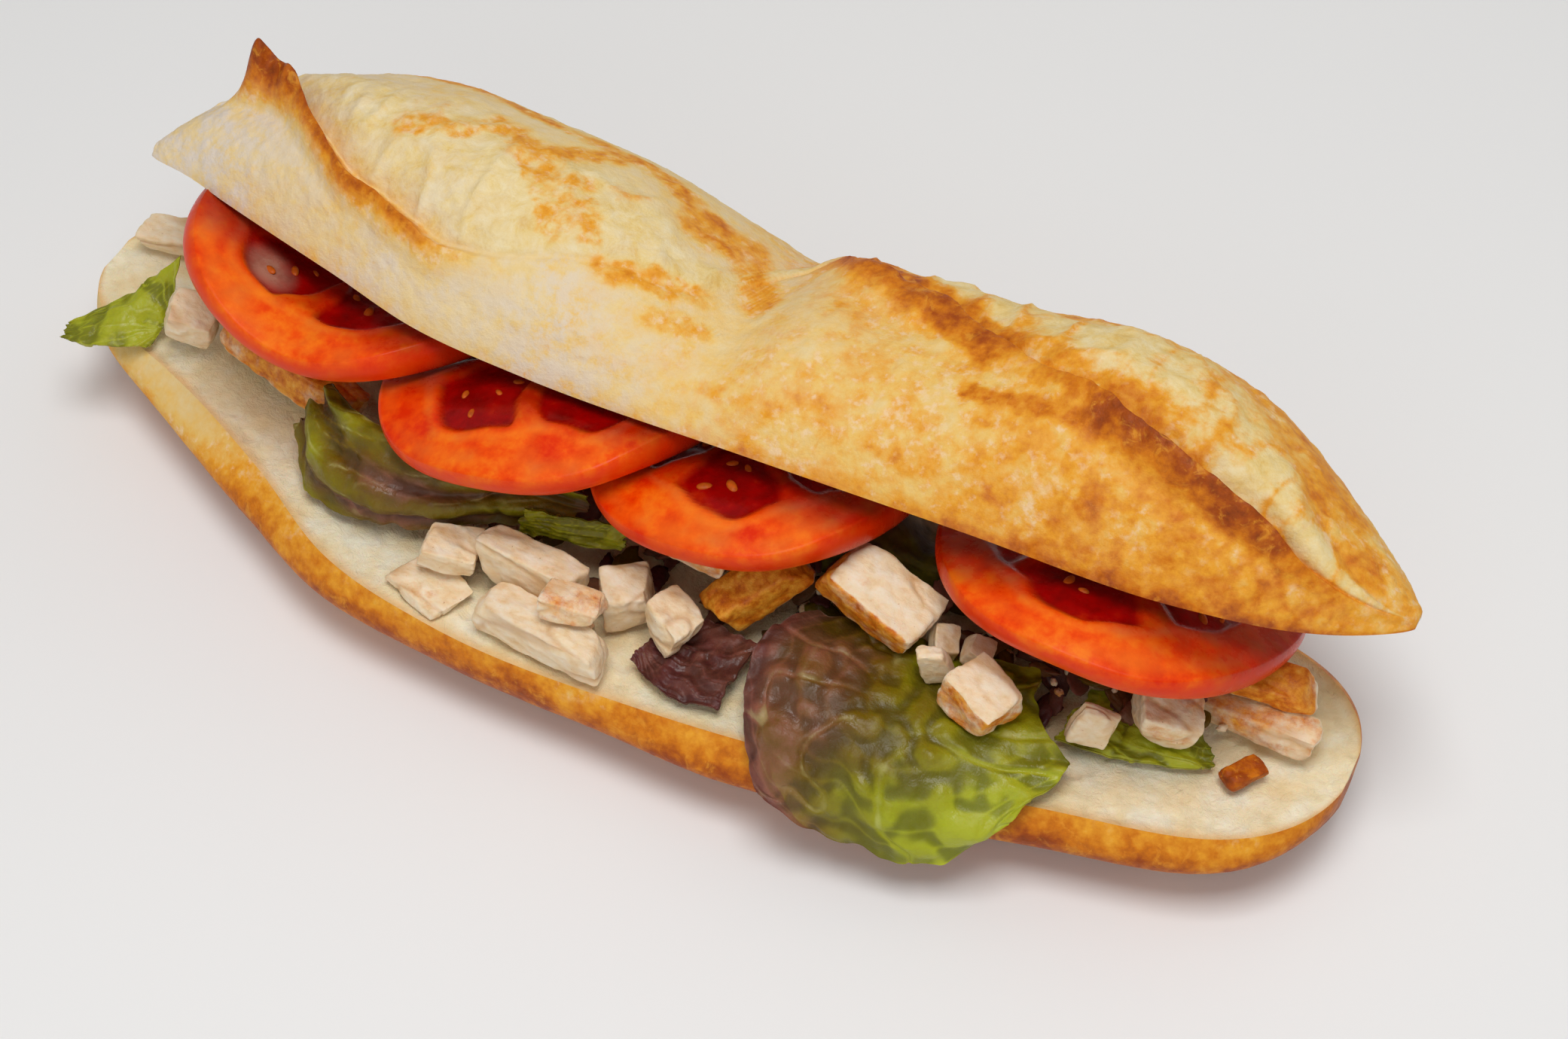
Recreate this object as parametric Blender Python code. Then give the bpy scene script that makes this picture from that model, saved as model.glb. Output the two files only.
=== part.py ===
"""A filled baguette sandwich: two bread halves, four tomato slices, lettuce leaves and roast chicken.

Sizes are in millimetres and become metres when a mesh is made. X runs along the loaf, Y away from the open
side of the sandwich and Z up. The bottom half rests on its flat underside.
"""

import math

import bmesh
import bpy
import numpy as np
from mathutils import Euler, Vector, noise

MM = 0.001

# The bottom half: a flat cut face at CUT_Z, with the loaf's outline round it.
CUT_Z = 21.0
BOTTOM_TIPS = (-138.0, 136.0)
BOTTOM_FRONT = ((-138, -17), (-118, -20.5), (-80, -36), (-57, -48.5), (-30, -54), (15, -53), (60, -46.5),
                (90, -39.5), (121, -33), (136, -28))
BOTTOM_BACK = ((-138, 15.5), (-60, 20), (0, 19), (70, 19), (136, 13))
BOTTOM_BULGE = ((-138, 3), (-118, 5.5), (-82, 7), (-58, 4.5), (-25, 2), (0, 2.4), (33, 5.4),
                (60, 4.6), (110, 4), (136, 5.5))
BOTTOM_ROUNDING = (20.0, 15.0)
BOTTOM_DEPTH = 22.0
BOTTOM_FULLNESS = 3.2
CRUMB_SAG = 0.8

# The top half: its cut face leans back, so that the open side is the higher one.
LID_TIPS = (-121.0, 139.0)
LID_TILT = math.radians(20)
LID_FRONT_Z = 60.0
LID_FRONT = ((-121, -8), (-110, -7.5), (-99, -9), (-71, -14.5), (-50, -19.5), (-26, -21), (20, -19.5),
             (64, -17.7), (100, -17), (128, -13), (139, -9))
LID_HALF_WIDTH = ((-121, 8), (-112, 14.5), (-100, 21.5), (-80, 27.5), (-30, 32), (60, 31), (105, 26.5),
                  (125, 19.5), (139, 12))
LID_HEIGHT = ((-121, 9.5), (-112, 14.5), (-100, 18.5), (-80, 25.5), (-62, 28.5), (-22, 27), (-4, 20), (6, 16),
              (18, 21), (32, 21.5), (45, 23), (75, 29), (95, 27.5), (112, 22.5), (125, 16.5), (139, 11))
LID_ROUNDING = (11.0, 7.0)
LID_FULLNESS = 2.25
GIRTH = 92.0

# The baker's cuts run one after the other along the loaf. Behind each cut's raised lip the crust opened in a
# paler band. The three tables give, along X, how far round the dome the lip lies from its front edge, how
# high the lip stands, and how wide the band is.
LIP_PLACE = ((-121, 46), (-106, 44), (-96, 38), (-84, 27), (-74, 19), (-64, 17), (-42, 16), (-18, 27),
             (0, 37), (9, 54), (21, 51), (45, 44), (64, 36), (85, 28), (111, 22), (125, 17), (139, 12))
LIP_HEIGHT = ((-121, 0), (-110, 0.2), (-107.5, 3), (-104, 13), (-100, 10.5), (-95, 9), (-90, 5.5), (-82, 3.8),
              (-70, 3.2), (-48, 1.5), (-38, 0.4), (-30, 0), (8, 0), (18, 3), (40, 3.4), (54, 1.6), (64, 1),
              (74, 2.6), (95, 4.6), (111, 3.6), (122, 1), (139, 0))
BAND_WIDTH = ((-121, 2), (-104, 10), (-90, 22), (-60, 38), (-25, 30), (0, 10), (20, 12), (45, 20), (64, 20),
              (85, 32), (105, 27), (120, 16), (139, 2))
LIP_REACH = 8.0
LIP_EDGE = 2.2
BAND_DROP = 2.2
BAND_RISE = 1.6

# Tomato: round slices that droop over the heap's ridge, each lapping over the next one to the right. LEFT and
# RIGHT say how much higher a slice's ends are than its middle, CELLS how its seed chambers are turned.
SLICE_THICKNESS = 6.4
RIDGE_Y = -26.0
RIDGE_Z = 52.6
RIDGE_SLOPE = 0.42
RIDGE_SOFTNESS = 8.0
SLICES = (
    {"at": (-73, 1), "radius": 34.0, "left": 11.3, "right": 4.7, "turn": 20, "cells": 58, "drop": 1.3},
    {"at": (-26, -7), "radius": 34.0, "left": -14.0, "right": 1.6, "turn": 75, "cells": 40, "drop": -1.2},
    {"at": (14.7, -4.5), "radius": 32.5, "left": -11.7, "right": 0.6, "turn": 130, "cells": 12, "drop": 1.9},
    {"at": (85, 1), "radius": 34.0, "left": -7.8, "right": -7.9, "turn": 40, "cells": 20, "drop": -2.0},
)
BEND_SOFTNESS = 0.3
CELLS = 5
CELL_DEPTH = 0.9

# Roast chicken and the crust chip: where each piece's middle is, its size, and how it is turned (degrees).
CHUNKS = {
    "chicken_01": ((-32, -41.4, 28.6), (11, 7.5, 6.5), (0, 10, 20)),
    "chicken_02": ((-33.5, -47, 22.9), (15, 9, 2.4), (3, 2, -20)),
    "chicken_03": ((-15.6, -39.4, 29.6), (21, 7.6, 11.5), (-8, 0, -5)),
    "chicken_04": ((-8, -49, 26.7), (28, 9, 9), (4, 0, -5)),
    "chicken_05": ((-2.6, -46, 34.2), (11, 7, 4.6), (0, 8, 15)),
    "chicken_06": ((2.6, -35.6, 28.2), (9.5, 10, 11), (10, 0, 30)),
    "chicken_07": ((13.6, -38.6, 30), (9, 8.5, 9), (0, 10, -20)),
    "chicken_08": ((25.2, -27.5, 33.4), (20, 8, 8.5), (0, -29, 42)),
    "chicken_09": ((12.4, -27, 38.5), (12, 6.5, 5.5), (10, 5, 10)),
    "chicken_10": ((47.2, -20.8, 37), (20.5, 11, 10.5), (8, 18, -8)),
    "chicken_11": ((61, -21.8, 32), (5.6, 5.6, 6), (20, 10, 30)),
    "chicken_12": ((67.4, -22, 33.2), (5, 5.5, 5.5), (0, 30, 10)),
    "chicken_13": ((62, -28.4, 34.2), (6, 3.4, 10), (10, -15, 20)),
    "chicken_14": ((72.6, -31.6, 34), (12, 10, 9), (6, 12, -20)),
    "chicken_15": ((92.3, -25.6, 30.8), (7.5, 3.2, 10), (-8, 20, 15)),
    "chicken_16": ((103, -17.8, 31), (11, 9, 9), (15, 10, 25)),
    "chicken_17": ((113.5, -4.8, 33.1), (24, 7.5, 5.8), (4, 4, 6)),
    "chicken_18": ((116, -8, 26.5), (23, 7.5, 6), (0, 0, 2)),
    "chicken_19": ((-107, -14.6, 30.4), (9, 8, 9), (10, 20, 20)),
    "chicken_20": ((-81.6, -17, 29.4), (36, 7, 9), (-14, 0, -15)),
    "chicken_21": ((-127.5, 6, 25.2), (12.5, 8.5, 5), (0, 0, 15)),
    "chicken_22": ((-96, 14, 25.4), (18, 7.5, 6), (0, 3, 8)),
    "chicken_23": ((-19.5, 14, 25.2), (10.5, 7, 5.6), (6, 0, -10)),
    "chicken_24": ((11, 15.4, 25.2), (12.5, 7, 6), (0, 6, 15)),
    "chicken_25": ((101, 12.4, 26), (18, 8, 7.5), (5, 0, -8)),
    "crust_chip": ((118.4, -18, 23.4), (8, 4.6, 2.8), (4, 6, 55)),
}

# The heap under the tomato: its ends, its front and back walls, how far its top keeps below the slices, the
# least height that it has, and how far round a slice it still keeps below it.
BED_ENDS = (-111, 98)
BED_FRONT = ((-111, -3), (-70, -7), (-30, -11.5), (60, -10.5), (98, -4))
BED_BACK = 10.0
BED_BELOW = 1.6
BED_LEAST_HEIGHT = 2.5
SLICE_CLEARANCE = 8.0

# Lettuce. Each leaf is a sheet through rows of points, from one end of it to the other.
LEAVES = {
    "leaf_front": (
        ((36, -23, 29), (48, -21, 27), (63, -18, 26), (78, -16, 26)),
        ((30, -33, 31), (44, -33, 31), (62, -30, 28), (82, -23, 27)),
        ((30, -41, 28.6), (44, -42, 31), (64, -40, 28.5), (90, -31, 26.6)),
        ((34, -51, 24.5), (46, -51, 26), (67, -47.5, 25), (92, -34.5, 25)),
        ((40, -57.6, 19), (51, -56, 18.5), (70, -53, 18), (87, -42.5, 23)),
        ((47, -59.4, 15), (57, -57.4, 12), (71, -54.8, 10.5), (82, -49, 14.5)),
    ),
    "leaf_left": (
        ((-74, -27, 31), (-73, -26, 33), (-71, -24, 35), (-69, -22, 37)),
        ((-67, -36, 24), (-66, -36, 30), (-64, -31, 36), (-62, -26, 39)),
        ((-54, -39, 24), (-53, -40, 31), (-52, -35, 37), (-51, -28, 40)),
        ((-40, -36, 26), (-39, -37, 31), (-38, -34, 36), (-37, -28, 40)),
        ((-23, -30, 30), (-23, -30, 34), (-22, -28, 37.5), (-21, -25, 40)),
        ((-9, -28, 34), (-9, -28, 36), (-9, -26.5, 38), (-9, -24.5, 39)),
    ),
    "leaf_tip": (
        ((-133, -27, 23.4), (-133, -26, 23.8), (-133, -24.5, 23.6)),
        ((-126, -27, 24), (-125, -21, 26), (-124, -14, 27.4)),
        ((-119, -24, 23.6), (-119, -17, 26.6), (-119, -9, 32)),
        ((-114.5, -21, 23.2), (-114, -14, 25), (-115, -5, 36)),
    ),
    "leaf_shadow": (
        ((8, -46, 23), (9, -42, 23), (11, -31, 23.4)),
        ((18, -50, 23), (19, -43, 24), (21, -32, 24)),
        ((29, -49, 23.6), (29, -42, 25), (30, -33, 26)),
    ),
    "leaf_mid": (
        ((-22, -33.4, 31), (-22, -32.8, 34), (-21, -31.6, 37)),
        ((-12, -32, 31.5), (-11, -31.4, 34.5), (-10, -30, 37.5)),
        ((0, -29.6, 33), (0, -29, 35.5), (0, -27, 38)),
    ),
    "leaf_right": (
        ((84, -27, 23), (85, -21, 23.6), (87, -14, 24)),
        ((97, -25.5, 23), (98, -20, 23.6), (99, -12, 24.4)),
        ((107, -22.5, 22.8), (107, -18.5, 23.4), (106, -13, 24.4)),
        ((114, -19.5, 22.8), (113, -17, 23), (111, -15, 23)),
    ),
    "leaf_back_1": (
        ((-74, 12, 25), (-73, 18, 24), (-71, 24, 22.6)),
        ((-60, 12, 26), (-59, 20, 25), (-58, 27, 20)),
        ((-44, 12, 25.4), (-43, 20, 24.4), (-42, 27, 19)),
        ((-28, 12, 25), (-27, 18, 24), (-27, 24, 22.4)),
    ),
    "leaf_back_2": (
        ((32, 12, 25), (33, 18, 24), (34, 24, 22.6)),
        ((48, 12, 26), (49, 19, 25), (50, 26.5, 19)),
        ((64, 12, 25.6), (65, 19, 24.6), (66, 26, 19.6)),
        ((80, 11, 25), (80, 16, 24), (80, 22, 22.6)),
    ),
}
LEAF_COLOURS = {"leaf_tip": "green", "leaf_right": "green", "leaf_mid": "green", "leaf_front": "red_green",
                "leaf_left": "red_green", "leaf_shadow": "red_green", "leaf_back_1": "green",
                "leaf_back_2": "red_green"}
GAP = 0.4
LEAF_THICKNESS = 1.0
LEAF_RIPPLE = 0.7

CRUST = (0.72, 0.46, 0.17)
PALE_CRUST = (0.80, 0.66, 0.42)
TOMATO = (0.80, 0.07, 0.01)
GREEN = (0.36, 0.47, 0.07)
RED_GREEN = (0.22, 0.17, 0.07)
CHICKEN = (0.82, 0.70, 0.54)


def through(points):
    """A smooth curve through a few points, as a function of X."""
    xs, ys = np.array(points, float).T
    slopes = np.gradient(ys, xs)

    def at(x):
        x = min(max(x, xs[0]), xs[-1])
        i = min(int(np.searchsorted(xs, x, "right")) - 1, len(xs) - 2)
        step = xs[i + 1] - xs[i]
        t = (x - xs[i]) / step
        start = ys[i] * (1 + 2 * t) * (1 - t) ** 2 + slopes[i] * step * t * (1 - t) ** 2
        return start + ys[i + 1] * t * t * (3 - 2 * t) + slopes[i + 1] * step * t * t * (t - 1)

    return at


def ease(t):
    """0 below 0, 1 above 1, and smooth between."""
    t = min(max(t, 0.0), 1.0)
    return t * t * (3 - 2 * t)


def ripple(x, y, z, size, seed):
    """Smooth noise from about -1 to 1 with lumps of the given size."""
    return noise.noise(Vector((x, y, z)) / size + Vector((seed * 7.3, seed * 3.1, seed * 1.7)))


def taper(x, tips, rounding):
    """How wide a loaf is at x, 1 in its middle and 0 at its tips. A higher rounding gives a blunter end."""
    t = (2 * x - tips[0] - tips[1]) / (tips[1] - tips[0])
    power = rounding[0] if t < 0 else rounding[1]
    return math.sqrt(max(0.0, 1 - abs(t) ** power))


def stations(tips, count):
    """Places along a loaf, closer together towards its two ends."""
    mid, half = (tips[0] + tips[1]) / 2, (tips[1] - tips[0]) / 2
    steps = [-1 + 2 * (i + 0.5) / count for i in range(count)]
    return [mid + half * math.copysign(1 - (1 - abs(t)) ** 1.6, t) for t in steps]


def squircle(angle, fullness):
    """Cosine and sine of a rounded square: a circle at fullness 2, fuller corners above."""
    c, s = math.cos(angle), math.sin(angle)
    power = 2 / fullness
    return math.copysign(abs(c) ** power, c), math.copysign(abs(s) ** power, s)


def material(name, colour, roughness):
    """One Principled material by name, made once."""
    made = bpy.data.materials.get(name)
    if made is None:
        made = bpy.data.materials.new(name)
        made.use_nodes = True
        shader = made.node_tree.nodes["Principled BSDF"]
        shader.inputs["Base Color"].default_value = (*colour, 1)
        shader.inputs["Roughness"].default_value = roughness
    return made


def add_object(name, mesh, finish):
    """The mesh as a named object of the sandwich, in metres."""
    for vertex in mesh.vertices:
        vertex.co *= MM
    mesh.materials.append(finish)
    mesh.shade_smooth()
    mesh.set_sharp_from_angle(angle=math.radians(50))
    made = bpy.data.objects.new(name, mesh)
    bpy.data.collections["chicken_sandwich"].objects.link(made)
    return made


def loft(name, rings, finish):
    """A closed solid through rings of equally many points, with its two ends closed to their middles."""
    form = bmesh.new()
    rows = [[form.verts.new(p) for p in ring] for ring in rings]
    count = len(rows[0])
    for a, b in zip(rows, rows[1:]):
        for i in range(count):
            j = (i + 1) % count
            form.faces.new((a[i], b[i], b[j], a[j]))
    for row, flip in ((rows[0], False), (rows[-1], True)):
        middle = form.verts.new(sum((v.co for v in row), Vector()) / count)
        for i in range(count):
            j = (i + 1) % count
            form.faces.new((row[j], row[i], middle) if flip else (row[i], row[j], middle))
    bmesh.ops.recalc_face_normals(form, faces=form.faces)
    mesh = bpy.data.meshes.new(name)
    form.to_mesh(mesh)
    form.free()
    return add_object(name, mesh, finish)


bottom_front, bottom_back = through(BOTTOM_FRONT), through(BOTTOM_BACK)
bottom_bulge = through(BOTTOM_BULGE)
lid_front, lid_half_width, lid_height = through(LID_FRONT), through(LID_HALF_WIDTH), through(LID_HEIGHT)
bed_front = through(BED_FRONT)
lip_place, lip_height, band_width = through(LIP_PLACE), through(LIP_HEIGHT), through(BAND_WIDTH)


def bottom_edges(x):
    """Y of the front and the back edge of the bottom half's cut face."""
    middle = (bottom_front(x) + bottom_back(x)) / 2
    half = (bottom_back(x) - bottom_front(x)) / 2 * taper(x, BOTTOM_TIPS, BOTTOM_ROUNDING)
    return middle - half, middle + half


def bottom_ring(x, under=17, across=6):
    """One section of the bottom half: round the underside from front to back, then over the cut face."""
    front, back = bottom_edges(x)
    middle, half = (front + back) / 2, (back - front) / 2
    depth = BOTTOM_DEPTH * (0.25 + 0.75 * taper(x, BOTTOM_TIPS, (7.0, 7.0)))
    ring = []
    for i in range(under):
        t = i / (under - 1)
        c, s = squircle(math.pi * t, BOTTOM_FULLNESS)
        swell = bottom_bulge(x) * math.sin(math.pi * min(1.0, 1.6 * s)) * taper(x, BOTTOM_TIPS, (9.0, 9.0))
        y, z = middle - c * (half + swell), CUT_Z - depth * s
        lump = 0.6 * ripple(x, y, z, 26, 1) * s
        ring.append((x, y - lump * c, max(0.0, z)))
    for i in range(across):
        t = (i + 1) / (across + 1)
        y = back + (front - back) * t
        sag = CRUMB_SAG * math.sin(math.pi * t) + 0.35 * ripple(x, y, 0, 14, 2) * math.sin(math.pi * t) ** 0.5
        ring.append((x, y, CUT_Z - sag * taper(x, BOTTOM_TIPS, (8.0, 8.0))))
    return ring


def make_bottom(count=40):
    rings = [bottom_ring(x) for x in stations(BOTTOM_TIPS, count)]
    return loft("bread_bottom", rings, material("crust", CRUST, 0.6))


def slash_relief(x, behind):
    """How far the crust stands out or in, at a distance behind the lip of the cuts."""
    lip = lip_height(x)
    if behind < 0:
        return lip * ease(1 + behind / LIP_REACH) ** 1.4
    band = max(band_width(x), 1.0)
    edge = ease(behind / LIP_EDGE)
    fade = ease(band / 18)
    drop = -BAND_DROP * (1 - ease(behind / (0.45 * band)))
    rise = BAND_RISE * math.sin(math.pi * min(1.0, behind / band))
    return lip * (1 - edge) + (drop + rise) * edge * fade


def lid_point(x, t, relief=True):
    """A point of the dome at x, t of the way round from its front edge to its back edge."""
    end = taper(x, LID_TIPS, LID_ROUNDING)
    half, height = lid_half_width(x) * end, lid_height(x) * (0.12 + 0.88 * end)
    along = Vector((0, math.cos(LID_TILT), -math.sin(LID_TILT)))
    up = Vector((0, math.sin(LID_TILT), math.cos(LID_TILT)))
    edge = Vector((x, lid_front(x), LID_FRONT_Z))
    middle = edge + along * lid_half_width(x)
    c, s = squircle(math.pi * t, LID_FULLNESS)
    place = middle - along * (c * half) + up * (s * height)
    if not relief:
        return place
    out = (up * (s * max(half, 1)) - along * (c * max(height, 1))).normalized()
    stand = slash_relief(x, t * GIRTH - lip_place(x)) * ease(t / 0.08) * ease((1 - t) / 0.1)
    stand += 0.7 * ripple(*place, 22, 4) * s
    return place + out * (stand * min(1.0, 3 * end))


def lid_places(x, before=9, behind=10):
    """Where the points of one section lie round the dome. One of them always follows the lip of the cuts."""
    lip = lip_place(x) / GIRTH
    edge = LIP_EDGE / GIRTH
    near = lip - LIP_REACH / GIRTH
    places = [near * i / (before - 3) for i in range(before - 2)]
    places += [lip - 0.5 * (lip - near), lip, lip + edge, lip + 2.5 * edge]
    rest = lip + 2.5 * edge
    return places + [rest + (1 - rest) * (i + 1) / behind for i in range(behind)]


def lid_ring(x, across=5):
    """One section of the top half: over the dome from front to back, then along the cut face."""
    ring = [tuple(lid_point(x, t)) for t in lid_places(x)]
    front, back = Vector(ring[0]), Vector(ring[-1])
    up = Vector((0, math.sin(LID_TILT), math.cos(LID_TILT)))
    for i in range(across):
        t = (i + 1) / (across + 1)
        hollow = 1.2 * math.sin(math.pi * t) * taper(x, LID_TIPS, LID_ROUNDING)
        ring.append(tuple(back.lerp(front, t) + up * hollow))
    return ring


def make_lid(count=52):
    rings = [lid_ring(x) for x in stations(LID_TIPS, count)]
    return loft("bread_top", rings, material("pale_crust", PALE_CRUST, 0.6))


def ridge_height(y):
    """Height of the middle of the tomato layer, which folds over the heap's ridge."""
    off = y - RIDGE_Y
    return RIDGE_Z - RIDGE_SLOPE * (math.sqrt(off * off + RIDGE_SOFTNESS ** 2) - RIDGE_SOFTNESS)


def slice_height(piece, x, y):
    """Height of the middle of one slice. Each half of it rises or falls towards its end, with a soft bend."""
    along = (x - piece["at"][0]) / piece["radius"]
    soft = (math.hypot(along, BEND_SOFTNESS) - BEND_SOFTNESS) / (math.hypot(1, BEND_SOFTNESS) - BEND_SOFTNESS)
    rise = (piece["right"] - piece["left"]) / 2 * along + (piece["right"] + piece["left"]) / 2 * soft
    return ridge_height(y) + rise - piece["drop"]


def slice_point(piece, radius, angle, level):
    """A point of a slice: level is -1 on its lower face and 1 on its upper one."""
    cx, cy = piece["at"]
    wobble = 1 + 0.02 * math.sin(2 * angle + piece["turn"]) + 0.012 * math.sin(5 * angle)
    x, y = cx + radius * wobble * math.cos(angle), cy + radius * wobble * math.sin(angle)
    slope_x = slice_height(piece, x + 0.5, y) - slice_height(piece, x - 0.5, y)
    slope_y = slice_height(piece, x, y + 0.5) - slice_height(piece, x, y - 0.5)
    normal = Vector((-slope_x, -slope_y, 1)).normalized()
    return Vector((x, y, slice_height(piece, x, y))) + normal * (level * SLICE_THICKNESS / 2)


def cell_dip(piece, share, angle):
    """How deep the seed chambers lie under the cut flesh, at a share of the radius."""
    spoke = math.cos(CELLS * (angle + math.radians(piece["cells"])))
    return CELL_DEPTH * ease((spoke + 0.55) / 0.5) * ease((0.80 - share) / 0.08) * ease((share - 0.2) / 0.12)


def make_slice(index, piece, sectors=24):
    """One slice: the skin's rim and two cut faces, with dips where the seed chambers are."""
    shares = (0.99, 0.90, 0.78, 0.55, 0.30)
    half = SLICE_THICKNESS / 2
    form = bmesh.new()
    rows = []
    for level, order in ((1, reversed(shares)), (-1, shares)):
        for share in order:
            rows.append([])
            for k in range(sectors):
                angle = 2 * math.pi * k / sectors
                dip = cell_dip(piece, share, angle) / half
                edge = 0.82 if share == shares[0] else 1.0
                place = slice_point(piece, piece["radius"] * share, angle, level * (edge - dip))
                rows[-1].append(form.verts.new(place))
        if level == 1:
            rows.append([form.verts.new(slice_point(piece, piece["radius"], 2 * math.pi * k / sectors, 0))
                         for k in range(sectors)])
    for a, b in zip(rows, rows[1:]):
        for k in range(sectors):
            j = (k + 1) % sectors
            form.faces.new((a[k], b[k], b[j], a[j]))
    for row, level in ((rows[0], 1), (rows[-1], -1)):
        middle = form.verts.new(slice_point(piece, 0, 0, level))
        for k in range(sectors):
            form.faces.new((row[k], row[(k + 1) % sectors], middle))
    bmesh.ops.recalc_face_normals(form, faces=form.faces)
    mesh = bpy.data.meshes.new(f"tomato_slice_{index}")
    form.to_mesh(mesh)
    form.free()
    return add_object(mesh.name, mesh, material("tomato", TOMATO, 0.3))


def under_slices(x, y):
    """Height of the underside of the tomato layer at a place, or of the ridge where no slice lies over it."""
    low = ridge_height(y) - 4.0
    for piece in SLICES:
        cx, cy = piece["at"]
        if math.hypot(x - cx, y - cy) < piece["radius"] + SLICE_CLEARANCE:
            low = min(low, slice_height(piece, x, y) - 0.6 * SLICE_THICKNESS)
    return low


def make_bed(count=34, around=14):
    """The heap of chicken and lettuce that runs through under the tomato, with a lumpy surface."""
    rings = []
    for x in stations(BED_ENDS, count):
        end = taper(x, BED_ENDS, (5.0, 5.0))
        ring = []
        for i in range(around):
            c, s = squircle(2 * math.pi * i / around, 4.5)
            middle, half = (bed_front(x) + BED_BACK) / 2, (BED_BACK - bed_front(x)) / 2
            y = middle + c * half * (0.5 + 0.5 * end)
            base = CUT_Z + GAP + 0.5
            top = max(under_slices(x, y) - BED_BELOW, base + BED_LEAST_HEIGHT)
            z = base + (top - base) * (0.4 + 0.6 * end) * (s + 1) / 2
            lump = 1.4 * ripple(x, y, z, 9, 6) * end
            ring.append((x, y + lump * c, max(base, z - abs(lump) * max(s, 0))))
        rings.append(ring)
    return loft("filling_bed", rings, material("chicken", CHICKEN, 0.5))


def make_chunk(name, place, size, turn, cuts=2):
    """One torn or diced piece: a box with its corners pulled about, rounded edges and uneven faces."""
    seed = sum(ord(letter) for letter in name)
    rng = np.random.default_rng(seed)
    pulls = rng.uniform(-0.12, 0.12, (2, 2, 2, 3))
    form = bmesh.new()
    bmesh.ops.create_cube(form, size=1)
    bmesh.ops.subdivide_edges(form, edges=form.edges, cuts=cuts, use_grid_fill=True)
    spin = Euler([math.radians(a) for a in turn]).to_matrix()
    for vertex in form.verts:
        p = np.array(vertex.co) + 0.5
        pull = np.zeros(3)
        for corner in np.ndindex(2, 2, 2):
            share = np.prod([p[k] if corner[k] else 1 - p[k] for k in range(3)])
            pull += share * pulls[corner]
        q = (p - 0.5) * 2
        rounded = q * np.sqrt(1 - 0.20 * (np.roll(q, 1) ** 2 + np.roll(q, 2) ** 2) / 2)
        rounded = rounded / 2 + pull
        rough = 0.05 * ripple(*(rounded * 4), 1.3, seed)
        vertex.co = Vector(place) + spin @ Vector((rounded * (1 + rough)) * size)
    bmesh.ops.triangulate(form, faces=form.faces)
    mesh = bpy.data.meshes.new(name)
    form.to_mesh(mesh)
    form.free()
    finish = material("crust", CRUST, 0.6) if name == "crust_chip" else material("chicken", CHICKEN, 0.5)
    return add_object(name, mesh, finish)


def blend(points, t):
    """A point of the smooth curve through equally spaced points, for t from 0 to 1."""
    points = [np.array(p, float) for p in points]
    points = [2 * points[0] - points[1]] + points + [2 * points[-1] - points[-2]]
    spans = len(points) - 3
    i = min(int(t * spans), spans - 1)
    f = t * spans - i
    a, b, c, d = points[i:i + 4]
    square, cube = 2 * a - 5 * b + 4 * c - d, 3 * b - a - 3 * c + d
    return 0.5 * (2 * b + (c - a) * f + square * f ** 2 + cube * f ** 3)


def leaf_point(name, rows, u, v):
    """The middle of a leaf's sheet, u along its rows and v across them."""
    p = blend([blend(row, v) for row in rows], u)
    seed = len(name)
    lift = LEAF_RIPPLE * ripple(*p, 7, seed) + 0.5 * LEAF_RIPPLE * ripple(*p, 3.5, seed + 1)
    return p + np.array((0, -0.3 * lift, abs(lift)))


def make_leaf(name, rows, along=11, across=8):
    """A leaf as a thin closed sheet. Both of its faces are split into triangles in the same way."""
    grid = np.array([[leaf_point(name, rows, i / along, j / across) for j in range(across + 1)]
                     for i in range(along + 1)])
    du, dv = np.gradient(grid, axis=0), np.gradient(grid, axis=1)
    normal = np.cross(du, dv)
    normal /= np.linalg.norm(normal, axis=2, keepdims=True)
    form = bmesh.new()
    faces = []
    for side in (0.5, -0.5):
        level = grid + normal * side * LEAF_THICKNESS
        faces.append([[form.verts.new(level[i, j]) for j in range(across + 1)] for i in range(along + 1)])
    upper, lower = faces
    for i in range(along):
        for j in range(across):
            for sheet in faces:
                corners = (sheet[i][j], sheet[i + 1][j], sheet[i + 1][j + 1], sheet[i][j + 1])
                form.faces.new((corners[0], corners[1], corners[2]))
                form.faces.new((corners[0], corners[2], corners[3]))
    rim = [(i, 0) for i in range(along)] + [(along, j) for j in range(across)]
    rim += [(along - i, across) for i in range(along)] + [(0, across - j) for j in range(across)]
    for (i, j), (k, m) in zip(rim, rim[1:] + rim[:1]):
        form.faces.new((upper[i][j], upper[k][m], lower[k][m]))
        form.faces.new((upper[i][j], lower[k][m], lower[i][j]))
    bmesh.ops.recalc_face_normals(form, faces=form.faces)
    mesh = bpy.data.meshes.new(name)
    form.to_mesh(mesh)
    form.free()
    colours = {"green": GREEN, "red_green": RED_GREEN}
    kind = LEAF_COLOURS[name]
    return add_object(name, mesh, material("lettuce_" + kind, colours[kind], 0.4))


def centre_whole():
    """Put the middle of the sandwich's outline over the origin, with its underside on the floor."""
    meshes = [made.data for made in bpy.data.collections["chicken_sandwich"].objects]
    points = np.array([tuple(vertex.co) for mesh in meshes for vertex in mesh.vertices])
    low, high = points.min(axis=0), points.max(axis=0)
    shift = Vector(((low[0] + high[0]) / 2, (low[1] + high[1]) / 2, low[2]))
    for mesh in meshes:
        for vertex in mesh.vertices:
            vertex.co -= shift


def main():
    for old in list(bpy.data.objects):
        bpy.data.objects.remove(old)
    group = bpy.data.collections.new("chicken_sandwich")
    bpy.context.scene.collection.children.link(group)
    make_bottom()
    make_lid()
    for index, piece in enumerate(SLICES, 1):
        make_slice(index, piece)
    make_bed()
    for name, (place, size, turn) in CHUNKS.items():
        make_chunk(name, place, size, turn)
    for name, rows in LEAVES.items():
        make_leaf(name, rows)
    centre_whole()


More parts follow.
